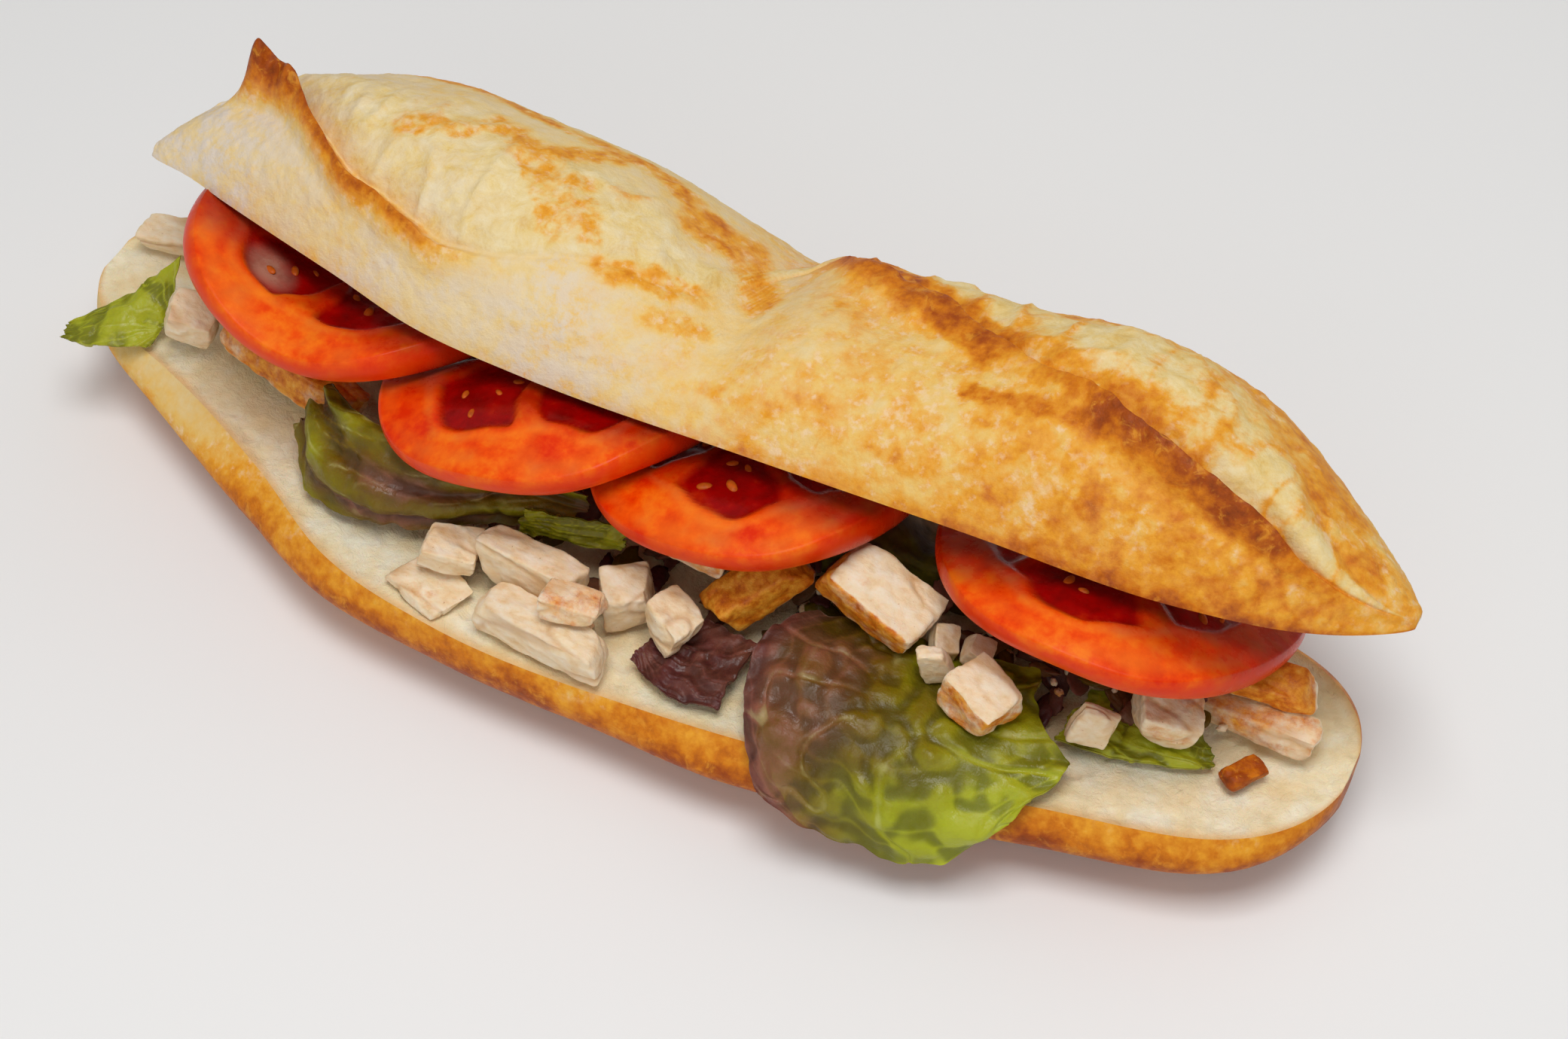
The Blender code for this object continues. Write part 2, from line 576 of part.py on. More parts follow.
main()
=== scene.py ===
"""The look of the chicken sandwich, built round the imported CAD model.

Sizes are in millimetres, in the frame that the CAD source was drawn in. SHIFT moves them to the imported
model's frame, and they become metres when a mesh is made. X runs along the loaf, Y away from the open side
and Z up.
"""
import math

import bmesh
import bpy
import numpy as np
from mathutils import Euler, Matrix, Vector


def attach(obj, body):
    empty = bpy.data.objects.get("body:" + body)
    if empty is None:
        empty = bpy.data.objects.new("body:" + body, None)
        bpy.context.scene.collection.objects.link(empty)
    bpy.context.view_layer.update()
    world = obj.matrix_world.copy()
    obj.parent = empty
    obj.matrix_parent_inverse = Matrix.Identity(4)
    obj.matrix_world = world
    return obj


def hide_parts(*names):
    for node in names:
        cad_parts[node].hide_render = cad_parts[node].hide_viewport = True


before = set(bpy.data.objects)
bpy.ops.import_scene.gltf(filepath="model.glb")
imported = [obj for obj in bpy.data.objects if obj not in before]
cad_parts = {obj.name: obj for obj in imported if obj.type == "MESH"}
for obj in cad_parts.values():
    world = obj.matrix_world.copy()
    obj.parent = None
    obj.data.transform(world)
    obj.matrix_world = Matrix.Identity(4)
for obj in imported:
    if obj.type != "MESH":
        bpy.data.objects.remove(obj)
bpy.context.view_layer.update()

SHIFT = np.array((-0.5705, 8.1013, 0.0))
MM = 0.001

# The two bread halves follow the CAD solids.
CUT_Z = 21.0
BOTTOM_TIPS = (-138.0, 136.0)
BOTTOM_FRONT = ((-138, -17), (-118, -20.5), (-80, -36), (-57, -48.5), (-30, -54), (15, -53), (60, -46.5),
                (90, -39.5), (121, -33), (136, -28))
BOTTOM_BACK = ((-138, 15.5), (-60, 20), (0, 19), (70, 19), (136, 13))
BOTTOM_BULGE = ((-138, 3), (-118, 5.5), (-82, 7), (-58, 4.5), (-25, 2), (0, 2.4), (33, 5.4), (60, 4.6),
                (110, 4), (136, 5.5))
BOTTOM_DEPTH = 22.0
LID_TIPS = (-121.0, 139.0)
LID_TILT = math.radians(20)
LID_FRONT_Z = 60.0
LID_FRONT = ((-121, -8), (-110, -7.5), (-99, -9), (-71, -14.5), (-50, -19.5), (-26, -21), (20, -19.5),
             (64, -17.7), (100, -17), (128, -13), (139, -9))
LID_HALF_WIDTH = ((-121, 8), (-112, 14.5), (-100, 21.5), (-80, 27.5), (-30, 32), (60, 31), (105, 26.5),
                  (125, 19.5), (139, 12))
LID_HEIGHT = ((-121, 9.5), (-112, 14.5), (-100, 18.5), (-80, 25.5), (-62, 28.5), (-22, 27), (-4, 20), (6, 16),
              (18, 21), (32, 21.5), (45, 23), (75, 29), (95, 27.5), (112, 22.5), (125, 16.5), (139, 11))

# The lips of the baker's cuts: how far round the dome they lie, where GIRTH is its back edge, how far they
# stand up, and how wide the opened band behind them is.
GIRTH = 92.0
LIP_PLACE = ((-121, 46), (-106, 44), (-96, 38), (-84, 27), (-74, 19), (-64, 17), (-42, 16), (-18, 27),
             (0, 37), (9, 54), (21, 51), (45, 44), (64, 36), (85, 28), (111, 22), (125, 17), (139, 12))
LIP_HEIGHT = ((-121, 0), (-110, 0.2), (-107.5, 3), (-104, 13), (-100, 10.5), (-95, 9), (-90, 5.5),
              (-82, 3.8), (-70, 3.2), (-48, 1.5), (-38, 0.4), (-30, 0), (8, 0), (18, 3), (40, 3.4),
              (54, 1.6), (64, 1), (74, 2.6), (95, 4.6), (111, 3.6), (122, 1), (139, 0))
BAND_WIDTH = ((-121, 2), (-104, 10), (-90, 22), (-60, 38), (-25, 30), (0, 10), (20, 12), (45, 20), (64, 20),
              (85, 32), (105, 27), (120, 16), (139, 2))
LIP_REACH = 8.0
LIP_EDGE = 2.2

# Marks on the crust: the way of each one along X and round the dome, its width, and how dark it is baked.
MARKS = (
    (((-67, 35), (-58, 39), (-53, 45), (-45, 44), (-39, 38)), 2.4, 0.58),
    (((-42, 43), (-33, 33), (-30, 29)), 3.2, 0.54),
    (((-30, 40), (-23, 32)), 2.6, 0.57),
    (((-18, 27), (-10, 30), (-1, 35)), 2.4, 0.57),
    (((-38, 46), (-31, 52)), 2.4, 0.62),
    (((-95, 62), (-80, 61), (-52, 57), (-22, 56), (-9, 53)), 2.4, 0.66),
    (((-11, 50), (-2, 52)), 3.4, 0.62),
    (((0, 50), (7, 43)), 2.8, 0.62),
    (((-6, 23), (2, 28)), 2.0, 0.50),
    (((18, 58), (26, 54), (31, 52), (40, 47), (48, 43), (53, 40)), 4.0, 0.78),
    (((53, 28), (62, 28), (74, 27)), 1.8, 0.72),
    (((64, 38), (74, 35), (84, 35)), 2.8, 0.66),
    (((79, 29), (91, 26.5), (103, 23), (112, 20)), 3.0, 0.86),
    (((60, 60), (85, 62), (109, 57), (122, 48)), 2.6, 0.62),
)

# Tomato slices, over the ridge of the heap. left and right: how far the ends rise. turn: of the outline's
# waves. cells: degrees that the chambers are turned. TOMATO_RADIUS is what the noise in them is sized for.
SLICE_THICKNESS = 6.4
TOMATO_RADIUS = 32
RIDGE_Y, RIDGE_Z, RIDGE_SLOPE, RIDGE_SOFTNESS = -26.0, 52.6, 0.42, 8.0
SLICES = (
    {"at": (-73, 1), "radius": 34.0, "left": 11.3, "right": 4.7, "turn": 20, "cells": 58, "drop": 1.3},
    {"at": (-26, -7), "radius": 34.0, "left": -14.0, "right": 1.6, "turn": 75, "cells": 40, "drop": -1.2},
    {"at": (14.7, -4.5), "radius": 32.5, "left": -11.7, "right": 0.6, "turn": 130, "cells": 12, "drop": 1.9},
    {"at": (85, 1), "radius": 34.0, "left": -7.8, "right": -7.9, "turn": 40, "cells": 20, "drop": -2.0},
)
BEND_SOFTNESS = 0.3

# Seed chambers in a slice, the place of the chamber in the first slice that gets a painted greyish reflection,
# and seeds in a slice.
CELLS = 5
REFLECTION_CELL_SHARE = 0.60
REFLECTION_CELL_ANGLE = math.radians(231)
SEEDS = 18
SEED_TRIES = 400

# Lettuce leaves: rows of points as in the CAD source, and how thick they are.
LEAF_THICKNESS = 0.45
LEAVES = {
    "leaf_front": (
        ((36, -23, 29), (48, -21, 27), (63, -18, 26), (78, -16, 26)),
        ((30, -33, 31), (44, -33, 31), (62, -30, 28), (82, -23, 27)),
        ((30, -41, 28.6), (44, -42, 31), (64, -40, 28.5), (90, -31, 26.6)),
        ((34, -51, 24.5), (46, -51, 26), (67, -47.5, 25), (92, -34.5, 25)),
        ((40, -57.6, 19), (51, -56, 18.5), (70, -53, 18), (87, -42.5, 23)),
        ((47, -59.4, 15), (57, -57.4, 12), (71, -54.8, 10.5), (82, -49, 14.5)),
    ),
    "leaf_left": (
        ((-74, -27, 31), (-73, -26, 33), (-71, -24, 35), (-69, -22, 37)),
        ((-67, -36, 24), (-66, -36, 30), (-64, -31, 36), (-62, -26, 39)),
        ((-54, -39, 24), (-53, -40, 31), (-52, -35, 37), (-51, -28, 40)),
        ((-40, -36, 26), (-39, -37, 31), (-38, -34, 36), (-37, -28, 40)),
        ((-23, -30, 30), (-23, -30, 34), (-22, -28, 37.5), (-21, -25, 40)),
        ((-9, -28, 34), (-9, -28, 36), (-9, -26.5, 38), (-9, -24.5, 39)),
    ),
    "leaf_tip": (
        ((-133, -27, 23.4), (-133, -26, 23.8), (-133, -24.5, 23.6)),
        ((-126, -27, 24), (-125, -21, 26), (-124, -14, 27.4)),
        ((-119, -24, 23.6), (-119, -17, 26.6), (-119, -9, 32)),
        ((-114.5, -21, 23.2), (-114, -14, 25), (-115, -5, 36)),
    ),
    "leaf_shadow": (
        ((8, -46, 23), (9, -42, 23), (11, -31, 23.4)),
        ((18, -50, 23), (19, -43, 24), (21, -32, 24)),
        ((29, -49, 23.6), (29, -42, 25), (30, -33, 26)),
    ),
    "leaf_mid": (
        ((-22, -33.4, 31), (-22, -32.8, 34), (-21, -31.6, 37)),
        ((-12, -32, 31.5), (-11, -31.4, 34.5), (-10, -30, 37.5)),
        ((0, -29.6, 33), (0, -29, 35.5), (0, -27, 38)),
    ),
    "leaf_right": (
        ((84, -27, 23), (85, -21, 23.6), (87, -14, 24)),
        ((97, -25.5, 23), (98, -20, 23.6), (99, -12, 24.4)),
        ((107, -22.5, 22.8), (107, -18.5, 23.4), (106, -13, 24.4)),
        ((114, -19.5, 22.8), (113, -17, 23), (111, -15, 23)),
    ),
    "leaf_back_1": (
        ((-74, 12, 25), (-73, 18, 24), (-71, 24, 22.6)),
        ((-60, 12, 26), (-59, 20, 25), (-58, 27, 20)),
        ((-44, 12, 25.4), (-43, 20, 24.4), (-42, 27, 19)),
        ((-28, 12, 25), (-27, 18, 24), (-27, 24, 22.4)),
    ),
    "leaf_back_2": (
        ((32, 12, 25), (33, 18, 24), (34, 24, 22.6)),
        ((48, 12, 26), (49, 19, 25), (50, 26.5, 19)),
        ((64, 12, 25.6), (65, 19, 24.6), (66, 26, 19.6)),
        ((80, 11, 25), (80, 16, 24), (80, 22, 22.6)),
    ),
}

# Where crumbs of the filling lie along the loaf. Dark leaf bits among them also stand in for shade in the gaps
# in front of the heap.
BITS_ALONG = (-42, 112)

# How much of each chicken piece is browned, and the direction that the browned side faces. The rest are pale.
SEARED = {
    "chicken_02": (0.35, (0, -0.3, 1)), "chicken_05": (0.42, (0.6, -0.6, 0.5)),
    "chicken_08": (0.95, (0, -0.7, 0.7)), "chicken_09": (0.55, (-0.5, -0.5, 0.7)),
    "chicken_10": (0.62, (-0.7, -0.7, -0.1)), "chicken_14": (0.55, (0, -0.7, -0.7)),
    "chicken_16": (0.4, (0.6, -0.3, 0.4)), "chicken_17": (0.75, (0, -0.5, 0.6)),
    "chicken_18": (0.5, (0, -0.6, 0.7)), "chicken_20": (0.62, (0.3, -0.6, 0.8)),
    "chicken_22": (0.5, (0, 1, 0.3)), "chicken_25": (0.6, (0, 1, 0.2)),
}
PALE = (0.12, (0, 0, 1))

# Turns and slants the noise in the crumb, so that its grid doesn't show.
SKEW = np.array(((0.8, 0.6, 0.0), (-0.6, 0.8, 0.0), (0.3, 0.2, 1.0)))

# Floor, light and camera. Lamps have a place and a size in metres, and a power in watts.
FLOOR_SIZE = 6
FLOOR_TONE = 0.92
WORLD_LIGHT = 0.36
LAMPS = (("key", (0.10, -0.14, 0.80), 0.35, 3.3), ("fill", (0.1, -0.8, 0.4), 0.6, 0.9),
         ("back", (0.3, 0.6, 0.5), 0.6, 0.3))
LAMPS_FACE = (0.02, -0.01, 0.03)
CAMERA_TURN = math.radians(26.7)
CAMERA_RISE = math.radians(51.5)
CAMERA_DISTANCE = 548.0
CAMERA_TARGET = (21.3, -7.9, 30.0)
CAMERA_LENS = 66.69
CAMERA_SENSOR = 36.0


def through(points):
    """A smooth curve through a few points, as a function of X."""
    xs, ys = np.array(points, float).T
    slopes = np.gradient(ys, xs)

    def at(x):
        x = np.clip(x, xs[0], xs[-1])
        i = np.clip(np.searchsorted(xs, x, "right") - 1, 0, len(xs) - 2)
        step = xs[i + 1] - xs[i]
        t = (x - xs[i]) / step
        start = ys[i] * (1 + 2 * t) * (1 - t) ** 2 + slopes[i] * step * t * (1 - t) ** 2
        return start + ys[i + 1] * t * t * (3 - 2 * t) + slopes[i + 1] * step * t * t * (t - 1)

    return at


def ease(t):
    """0 below 0, 1 above 1, and smooth between."""
    t = np.clip(t, 0, 1)
    return t * t * (3 - 2 * t)


def lattice(i, j, k, seed):
    """A random value from -1 to 1 for each point of a whole-number grid."""
    h = (i * 374761393 + j * 668265263 + k * 1274126177 + seed * 974634777) & 0xFFFFFFFF
    h = ((h ^ (h >> 13)) * 1103515245) & 0xFFFFFFFF
    return ((h ^ (h >> 16)) & 0xFFFF) / 32767.5 - 1


def ripple(p, size, seed=0):
    """Smooth noise from -1 to 1 at points p, with lumps of the given size."""
    q = p / size + 17.3 * (seed + 1)
    i = np.floor(q).astype(np.int64)
    f = q - i
    u = f * f * f * (f * (6 * f - 15) + 10)
    total = 0
    for a in (0, 1):
        for b in (0, 1):
            for c in (0, 1):
                share = ((u[..., 0] if a else 1 - u[..., 0]) * (u[..., 1] if b else 1 - u[..., 1])
                         * (u[..., 2] if c else 1 - u[..., 2]))
                total = total + share * lattice(i[..., 0] + a, i[..., 1] + b, i[..., 2] + c, seed)
    return total


def rough(p, size, seed=0, octaves=3):
    """Ripples of several sizes added up."""
    return sum(ripple(p, size / 2 ** k, seed + k) / 2 ** k for k in range(octaves)) / 1.6


def taper(x, tips, rounding):
    """How wide a loaf is at x, from 1 in its middle to 0 at its tips."""
    t = (2 * x - tips[0] - tips[1]) / (tips[1] - tips[0])
    power = np.where(t < 0, rounding[0], rounding[1])
    return np.sqrt(np.maximum(0.0, 1 - np.abs(t) ** power))


def stations(tips, count):
    """Places along a loaf, closer together towards its two ends."""
    mid, half = (tips[0] + tips[1]) / 2, (tips[1] - tips[0]) / 2 - 0.5
    t = -1 + 2 * (np.arange(count) + 0.5) / count
    return mid + half * np.sign(t) * (1 - (1 - np.abs(t)) ** 1.6)


def squircle(angle, fullness):
    """Cosine and sine of a rounded square."""
    c, s = np.cos(angle), np.sin(angle)
    power = 2 / fullness
    return np.sign(c) * np.abs(c) ** power, np.sign(s) * np.abs(s) ** power


def stack(*parts):
    return np.stack(np.broadcast_arrays(*parts), axis=-1)


def grid_faces(rows, columns, wrap=False, flip=False, start=0):
    """Quads of a grid of points, closed on itself across its columns with wrap."""
    i, j = np.meshgrid(np.arange(rows - 1), np.arange(columns if wrap else columns - 1), indexing="ij")
    k = (j + 1) % columns
    faces = np.stack((i * columns + j, (i + 1) * columns + j, (i + 1) * columns + k, i * columns + k), -1)
    faces = faces.reshape(-1, 4) + start
    return (faces[:, ::-1] if flip else faces).tolist()


def closed_ends(points, paint, tips):
    """The rows of a loaf with one more row at each end, drawn together to a point."""
    rows = [np.broadcast_to(tip, points[:1].shape) for tip in tips]
    return np.concatenate((rows[0], points, rows[1])), np.concatenate((paint[:1], paint, paint[-1:]))


def unpack(form):
    """The points and faces of a bmesh, which is freed."""
    points = np.array([tuple(v.co) for v in form.verts])
    faces = [[v.index for v in f.verts] for f in form.faces]
    form.free()
    return points, faces


def ball_mesh(subdivisions):
    """Points and triangles of a ball with a radius of 1."""
    form = bmesh.new()
    bmesh.ops.create_icosphere(form, subdivisions=subdivisions, radius=1)
    points, triangles = unpack(form)
    return points, np.array(triangles)


def add_piece(name, points, faces, finish, nodes=(), paint=None):
    """A mesh piece from points in millimetres. paint holds three numbers a point, which the finish reads."""
    mesh = bpy.data.meshes.new(name)
    mesh.from_pydata(((np.asarray(points).reshape(-1, 3) + SHIFT) * MM).tolist(), [], faces)
    if paint is not None:
        layer = mesh.color_attributes.new("paint", "FLOAT_COLOR", "POINT")
        rgba = np.ones((len(mesh.vertices), 4), np.float32)
        rgba[:, :3] = np.asarray(paint).reshape(-1, 3)
        layer.data.foreach_set("color", rgba.ravel())
    mesh.materials.append(finish)
    mesh.shade_smooth()
    made = new_object(name, mesh)
    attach(made, "root")
    if nodes:
        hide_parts(*nodes)


def new_object(name, data):
    made = bpy.data.objects.new(name, data)
    bpy.context.scene.collection.objects.link(made)
    return made


# Materials


class Finish:
    """A Principled material with a few helpers for its node tree."""

    def __init__(self, name, **values):
        self.material = bpy.data.materials.new(name)
        self.material.use_nodes = True
        self.tree = self.material.node_tree
        self.shader = self.tree.nodes["Principled BSDF"]
        for socket, value in values.items():
            self.shader.inputs[socket.replace("_", " ")].default_value = value
        self.place = self.node("ShaderNodeTexCoord").outputs["Object"]
        paint = self.node("ShaderNodeAttribute")
        paint.attribute_name = "paint"
        split = self.node("ShaderNodeSeparateColor")
        self.link(paint.outputs["Color"], split.inputs["Color"])
        self.paint = [split.outputs[i] for i in range(3)]

    def node(self, kind):
        return self.tree.nodes.new(kind)

    def link(self, source, target):
        if isinstance(source, (int, float)):
            target.default_value = source
        elif isinstance(source, tuple):
            target.default_value = (*source, 1)
        else:
            self.tree.links.new(source, target)

    def noise(self, scale, detail=4.0, roughness=0.6, stretch=None, distortion=0.0):
        made = self.node("ShaderNodeTexNoise")
        made.inputs["Scale"].default_value = scale
        made.inputs["Detail"].default_value = detail
        made.inputs["Roughness"].default_value = roughness
        made.inputs["Distortion"].default_value = distortion
        self.link(self.stretched(stretch), made.inputs["Vector"])
        return made.outputs["Fac"]

    def cells(self, scale):
        made = self.node("ShaderNodeTexVoronoi")
        made.feature = "SMOOTH_F1"
        made.inputs["Scale"].default_value = scale
        self.link(self.place, made.inputs["Vector"])
        return made.outputs["Distance"]

    def stretched(self, stretch):
        if stretch is None:
            return self.place
        made = self.node("ShaderNodeMapping")
        made.inputs["Scale"].default_value = stretch
        self.link(self.place, made.inputs["Vector"])
        return made.outputs["Vector"]

    def math(self, operation, a, b=0.0, clamp=False):
        made = self.node("ShaderNodeMath")
        made.operation = operation
        made.use_clamp = clamp
        self.link(a, made.inputs[0])
        self.link(b, made.inputs[1])
        return made.outputs[0]

    def times(self, a, b, clamp=False):
        return self.math("MULTIPLY", a, b, clamp)

    def plus(self, a, b, clamp=False):
        return self.math("ADD", a, b, clamp)

    def sway(self, base, value, amount, middle=0.5, clamp=False):
        """base plus amount times how far value is from its middle."""
        return self.plus(base, self.times(self.math("SUBTRACT", value, middle), amount), clamp)

    def span(self, value, low, high, start=0.0, end=1.0):
        """value from low to high becomes start to end, smoothly."""
        made = self.node("ShaderNodeMapRange")
        made.interpolation_type = "SMOOTHSTEP"
        for i, number in enumerate((low, high, start, end), 1):
            made.inputs[i].default_value = number
        self.link(value, made.inputs[0])
        return made.outputs[0]

    def ramp(self, value, *stops):
        made = self.node("ShaderNodeValToRGB")
        elements = made.color_ramp.elements
        while len(elements) < len(stops):
            elements.new(0.5)
        for element, (place, colour) in zip(elements, stops):
            element.position = place
            element.color = (*colour, 1)
        self.link(value, made.inputs["Fac"])
        return made.outputs["Color"]

    def mix(self, share, a, b):
        made = self.node("ShaderNodeMix")
        made.data_type = "RGBA"
        self.link(share, made.inputs["Factor"])
        self.link(a, made.inputs[6])
        self.link(b, made.inputs[7])
        return made.outputs[2]

    def bump(self, height, distance, strength, onto=None):
        made = self.node("ShaderNodeBump")
        made.inputs["Strength"].default_value = strength
        made.inputs["Distance"].default_value = distance
        self.link(height, made.inputs["Height"])
        if onto is not None:
            self.link(onto, made.inputs["Normal"])
        return made.outputs["Normal"]

    def set(self, socket, value):
        self.link(value, self.shader.inputs[socket])


def crust_finish():
    """Baked crust. paint: how dark it is baked, how floury, and how much it is the torn band of a cut."""
    f = Finish("crust", Roughness=0.55, Specular_IOR_Level=0.2)
    baked, flour, torn = f.paint
    patches = f.noise(90, 5, 0.62)
    fine = f.noise(700, 4, 0.6)
    blisters = f.cells(420)
    tone = f.sway(f.sway(baked, patches, 0.26), fine, 0.30)
    tone = f.sway(tone, blisters, 0.16, 0.35, clamp=True)
    colour = f.ramp(tone, (0.0, (0.84, 0.67, 0.40)), (0.20, (0.84, 0.62, 0.28)), (0.38, (0.86, 0.54, 0.14)),
                    (0.54, (0.84, 0.36, 0.022)), (0.68, (0.66, 0.19, 0.004)), (0.82, (0.38, 0.07, 0.003)),
                    (1.0, (0.14, 0.022, 0.004)))
    speck = f.sway(f.noise(560, 4, 0.6), patches, -0.5)
    speck = f.times(f.span(speck, 0.50, 0.72), f.span(baked, 0.26, 0.40))
    speck = f.times(speck, f.span(baked, 0.44, 0.62, 0.75, 0.0))
    colour = f.mix(speck, colour, (0.90, 0.65, 0.40))
    streak = f.span(f.noise(330, 4, 0.65, distortion=0.8), 0.52, 0.70, 0.0, 0.55)
    colour = f.mix(f.times(streak, f.span(baked, 0.28, 0.42)), colour, (0.84, 0.36, 0.03))
    crumbly = f.noise(230, 6, 0.7, distortion=0.5)
    cream = f.ramp(crumbly, (0.28, (0.74, 0.44, 0.08)), (0.43, (0.82, 0.60, 0.23)),
                   (0.66, (0.88, 0.73, 0.42)))
    share = f.times(torn, f.span(tone, 0.30, 0.54, 1, 0))
    colour = f.mix(share, colour, cream)
    dust = f.plus(f.noise(260, 6, 0.74), f.times(patches, 0.4))
    dust = f.times(f.span(dust, 0.56, 0.82), flour, clamp=True)
    colour = f.mix(dust, colour, (0.76, 0.66, 0.56))
    f.set("Base Color", colour)
    f.set("Roughness", f.span(tone, 0.2, 0.8, 0.66, 0.48))
    normal = f.bump(patches, 0.0006, 0.5)
    normal = f.bump(f.noise(380, 5, 0.7), 0.0005, 0.8, normal)
    f.set("Normal", f.bump(fine, 0.00012, 0.6, normal))
    return f.material


def crumb_finish():
    """The bread's soft inside. paint: how close to the crust, how much browner, and how deep in a pore, where
    shade is painted.
    """
    f = Finish("crumb", Roughness=0.85, Subsurface_Weight=0.12, Subsurface_Scale=0.002)
    edge, browner, pore = f.paint
    mottle = f.noise(130, 5, 0.6)
    fine = f.noise(900, 4, 0.7)
    colour = f.ramp(mottle, (0.32, (0.90, 0.71, 0.40)), (0.5, (0.95, 0.81, 0.53)), (0.68, (0.98, 0.90, 0.70)))
    # Painted shade: pores are darkened.
    colour = f.mix(f.times(pore, 0.3), colour, (0.72, 0.50, 0.24))
    colour = f.mix(f.span(fine, 0.60, 0.75, 0, 0.10), colour, (0.72, 0.52, 0.26))
    # Browner where the second channel says so.
    colour = f.mix(f.times(browner, f.span(mottle, 0.35, 0.6)), colour, (0.62, 0.40, 0.15))
    colour = f.mix(edge, colour, (0.84, 0.48, 0.16))
    f.set("Base Color", colour)
    normal = f.bump(f.noise(330, 5, 0.75, distortion=1.0), 0.0008, 0.8)
    f.set("Normal", f.bump(fine, 0.0003, 0.8, normal))
    return f.material


def tomato_finish():
    """Cut tomato. paint: wet gel plus painted shadow of the lid, skin, and pale flesh. Pale gel gets a painted
    greyish reflection.
    """
    f = Finish("tomato", Roughness=0.3, Specular_IOR_Level=0.16, Subsurface_Weight=0.05,
               Subsurface_Scale=0.002)
    f.shader.inputs["Subsurface Radius"].default_value = (1.0, 0.2, 0.05)
    gel, skin, pale = f.paint
    fibres = f.noise(240, 5, 0.65)
    warm = f.sway(fibres, f.noise(60, 2, 0.5), 0.7)
    flesh = f.ramp(warm, (0.30, (0.76, 0.025, 0.0)), (0.52, (0.90, 0.075, 0.0)), (0.75, (0.97, 0.19, 0.004)))
    colour = f.mix(pale, flesh, (0.98, 0.24, 0.015))
    wet = f.ramp(f.noise(180, 4, 0.6), (0.3, (0.16, 0.0, 0.0)), (0.6, (0.34, 0.0, 0.0)),
                 (0.8, (0.50, 0.02, 0.0)))
    # The dark gel colour also paints the shadow of the lid.
    colour = f.mix(gel, colour, wet)
    colour = f.mix(f.times(skin, 0.65), colour, (0.76, 0.03, 0.0))
    # Painted greyish reflection where gel is pale too, which is the chamber in the first slice.
    painted_reflection = f.times(f.times(gel, pale), f.span(fibres, 0.3, 0.6, 0.6, 1.0))
    colour = f.mix(painted_reflection, colour, (0.44, 0.19, 0.13))
    f.set("Base Color", colour)
    f.set("Roughness", f.math("SUBTRACT", f.span(fibres, 0.3, 0.7, 0.28, 0.5), f.times(gel, 0.14)))
    normal = f.bump(fibres, 0.0003, 0.4)
    f.set("Normal", f.bump(f.noise(1100, 3, 0.6), 0.0001, 0.3, normal))
    return f.material


def leaf_finish():
    """Lettuce. paint: how green rather than purple it is, from painted shade in a valley to a vein, and how
    bright it is.
    """
    f = Finish("lettuce", Roughness=0.42, Specular_IOR_Level=0.32, Subsurface_Weight=0.05,
               Subsurface_Scale=0.001)
    green, vein_and_shade, bright = f.paint
    blotch = f.noise(170, 5, 0.65)
    tone = f.sway(green, blotch, 0.45, clamp=True)
    colour = f.ramp(tone, (0.0, (0.10, 0.02, 0.02)), (0.22, (0.27, 0.10, 0.06)), (0.42, (0.15, 0.075, 0.002)),
                    (0.60, (0.19, 0.14, 0.002)), (0.80, (0.28, 0.27, 0.003)), (1.0, (0.38, 0.42, 0.008)))
    colour = f.mix(f.times(bright, 0.6), colour, (0.46, 0.48, 0.03))
    # Painted shade: a low second channel darkens the valleys between puckers and folds towards near black.
    deep = f.math("SUBTRACT", 1.0, f.span(vein_and_shade, 0.0, 0.5))
    valley = f.mix(green, (0.05, 0.012, 0.008), (0.05, 0.05, 0.001))
    colour = f.mix(f.times(deep, 0.65), colour, valley)
    pale = f.mix(green, (0.40, 0.24, 0.14), (0.50, 0.54, 0.12))
    patchy = f.times(f.span(f.noise(120, 3, 0.6), 0.38, 0.62), 0.8)
    colour = f.mix(f.times(f.span(vein_and_shade, 0.5, 1.0), patchy), colour, pale)
    f.set("Base Color", colour)
    pucker = f.noise(200, 4, 0.6)
    f.set("Roughness", f.span(pucker, 0.3, 0.7, 0.32, 0.55))
    normal = f.bump(pucker, 0.0012, 0.6)
    f.set("Normal", f.bump(f.cells(420), 0.0006, 0.35, normal))
    return f.material


def chicken_finish():
    """Roast chicken. paint: how browned it is, how pink, and how deep in a crack, where shade is painted."""
    f = Finish("chicken", Roughness=0.5, Specular_IOR_Level=0.35, Subsurface_Weight=0.12,
               Subsurface_Scale=0.002)
    browned, pink, crack = f.paint
    fibres = f.noise(300, 4, 0.6, (1, 1.6, 1.6))
    meat = f.ramp(fibres, (0.26, (0.76, 0.50, 0.24)), (0.44, (0.86, 0.67, 0.42)), (0.66, (0.91, 0.80, 0.62)))
    meat = f.mix(f.times(pink, 0.25), meat, (0.90, 0.62, 0.36))
    # Painted shade: cracks are darkened brown.
    meat = f.mix(f.times(crack, 0.6), meat, (0.60, 0.32, 0.12))
    spice = f.noise(420, 5, 0.7)
    roast = f.ramp(spice, (0.28, (0.40, 0.06, 0.0)), (0.45, (0.68, 0.18, 0.003)), (0.62, (0.88, 0.38, 0.03)),
                   (0.78, (0.92, 0.56, 0.14)))
    share = f.sway(browned, f.noise(240, 5, 0.7), 0.7)
    colour = f.mix(f.span(share, 0.36, 0.66), meat, roast)
    colour = f.mix(f.span(f.noise(1500, 2, 0.5), 0.72, 0.78, 0, 0.6), colour, (0.40, 0.12, 0.015))
    f.set("Base Color", colour)
    f.set("Roughness", f.span(fibres, 0.3, 0.7, 0.40, 0.6))
    normal = f.bump(fibres, 0.0006, 0.55)
    f.set("Normal", f.bump(spice, 0.0002, 0.4, normal))
    return f.material


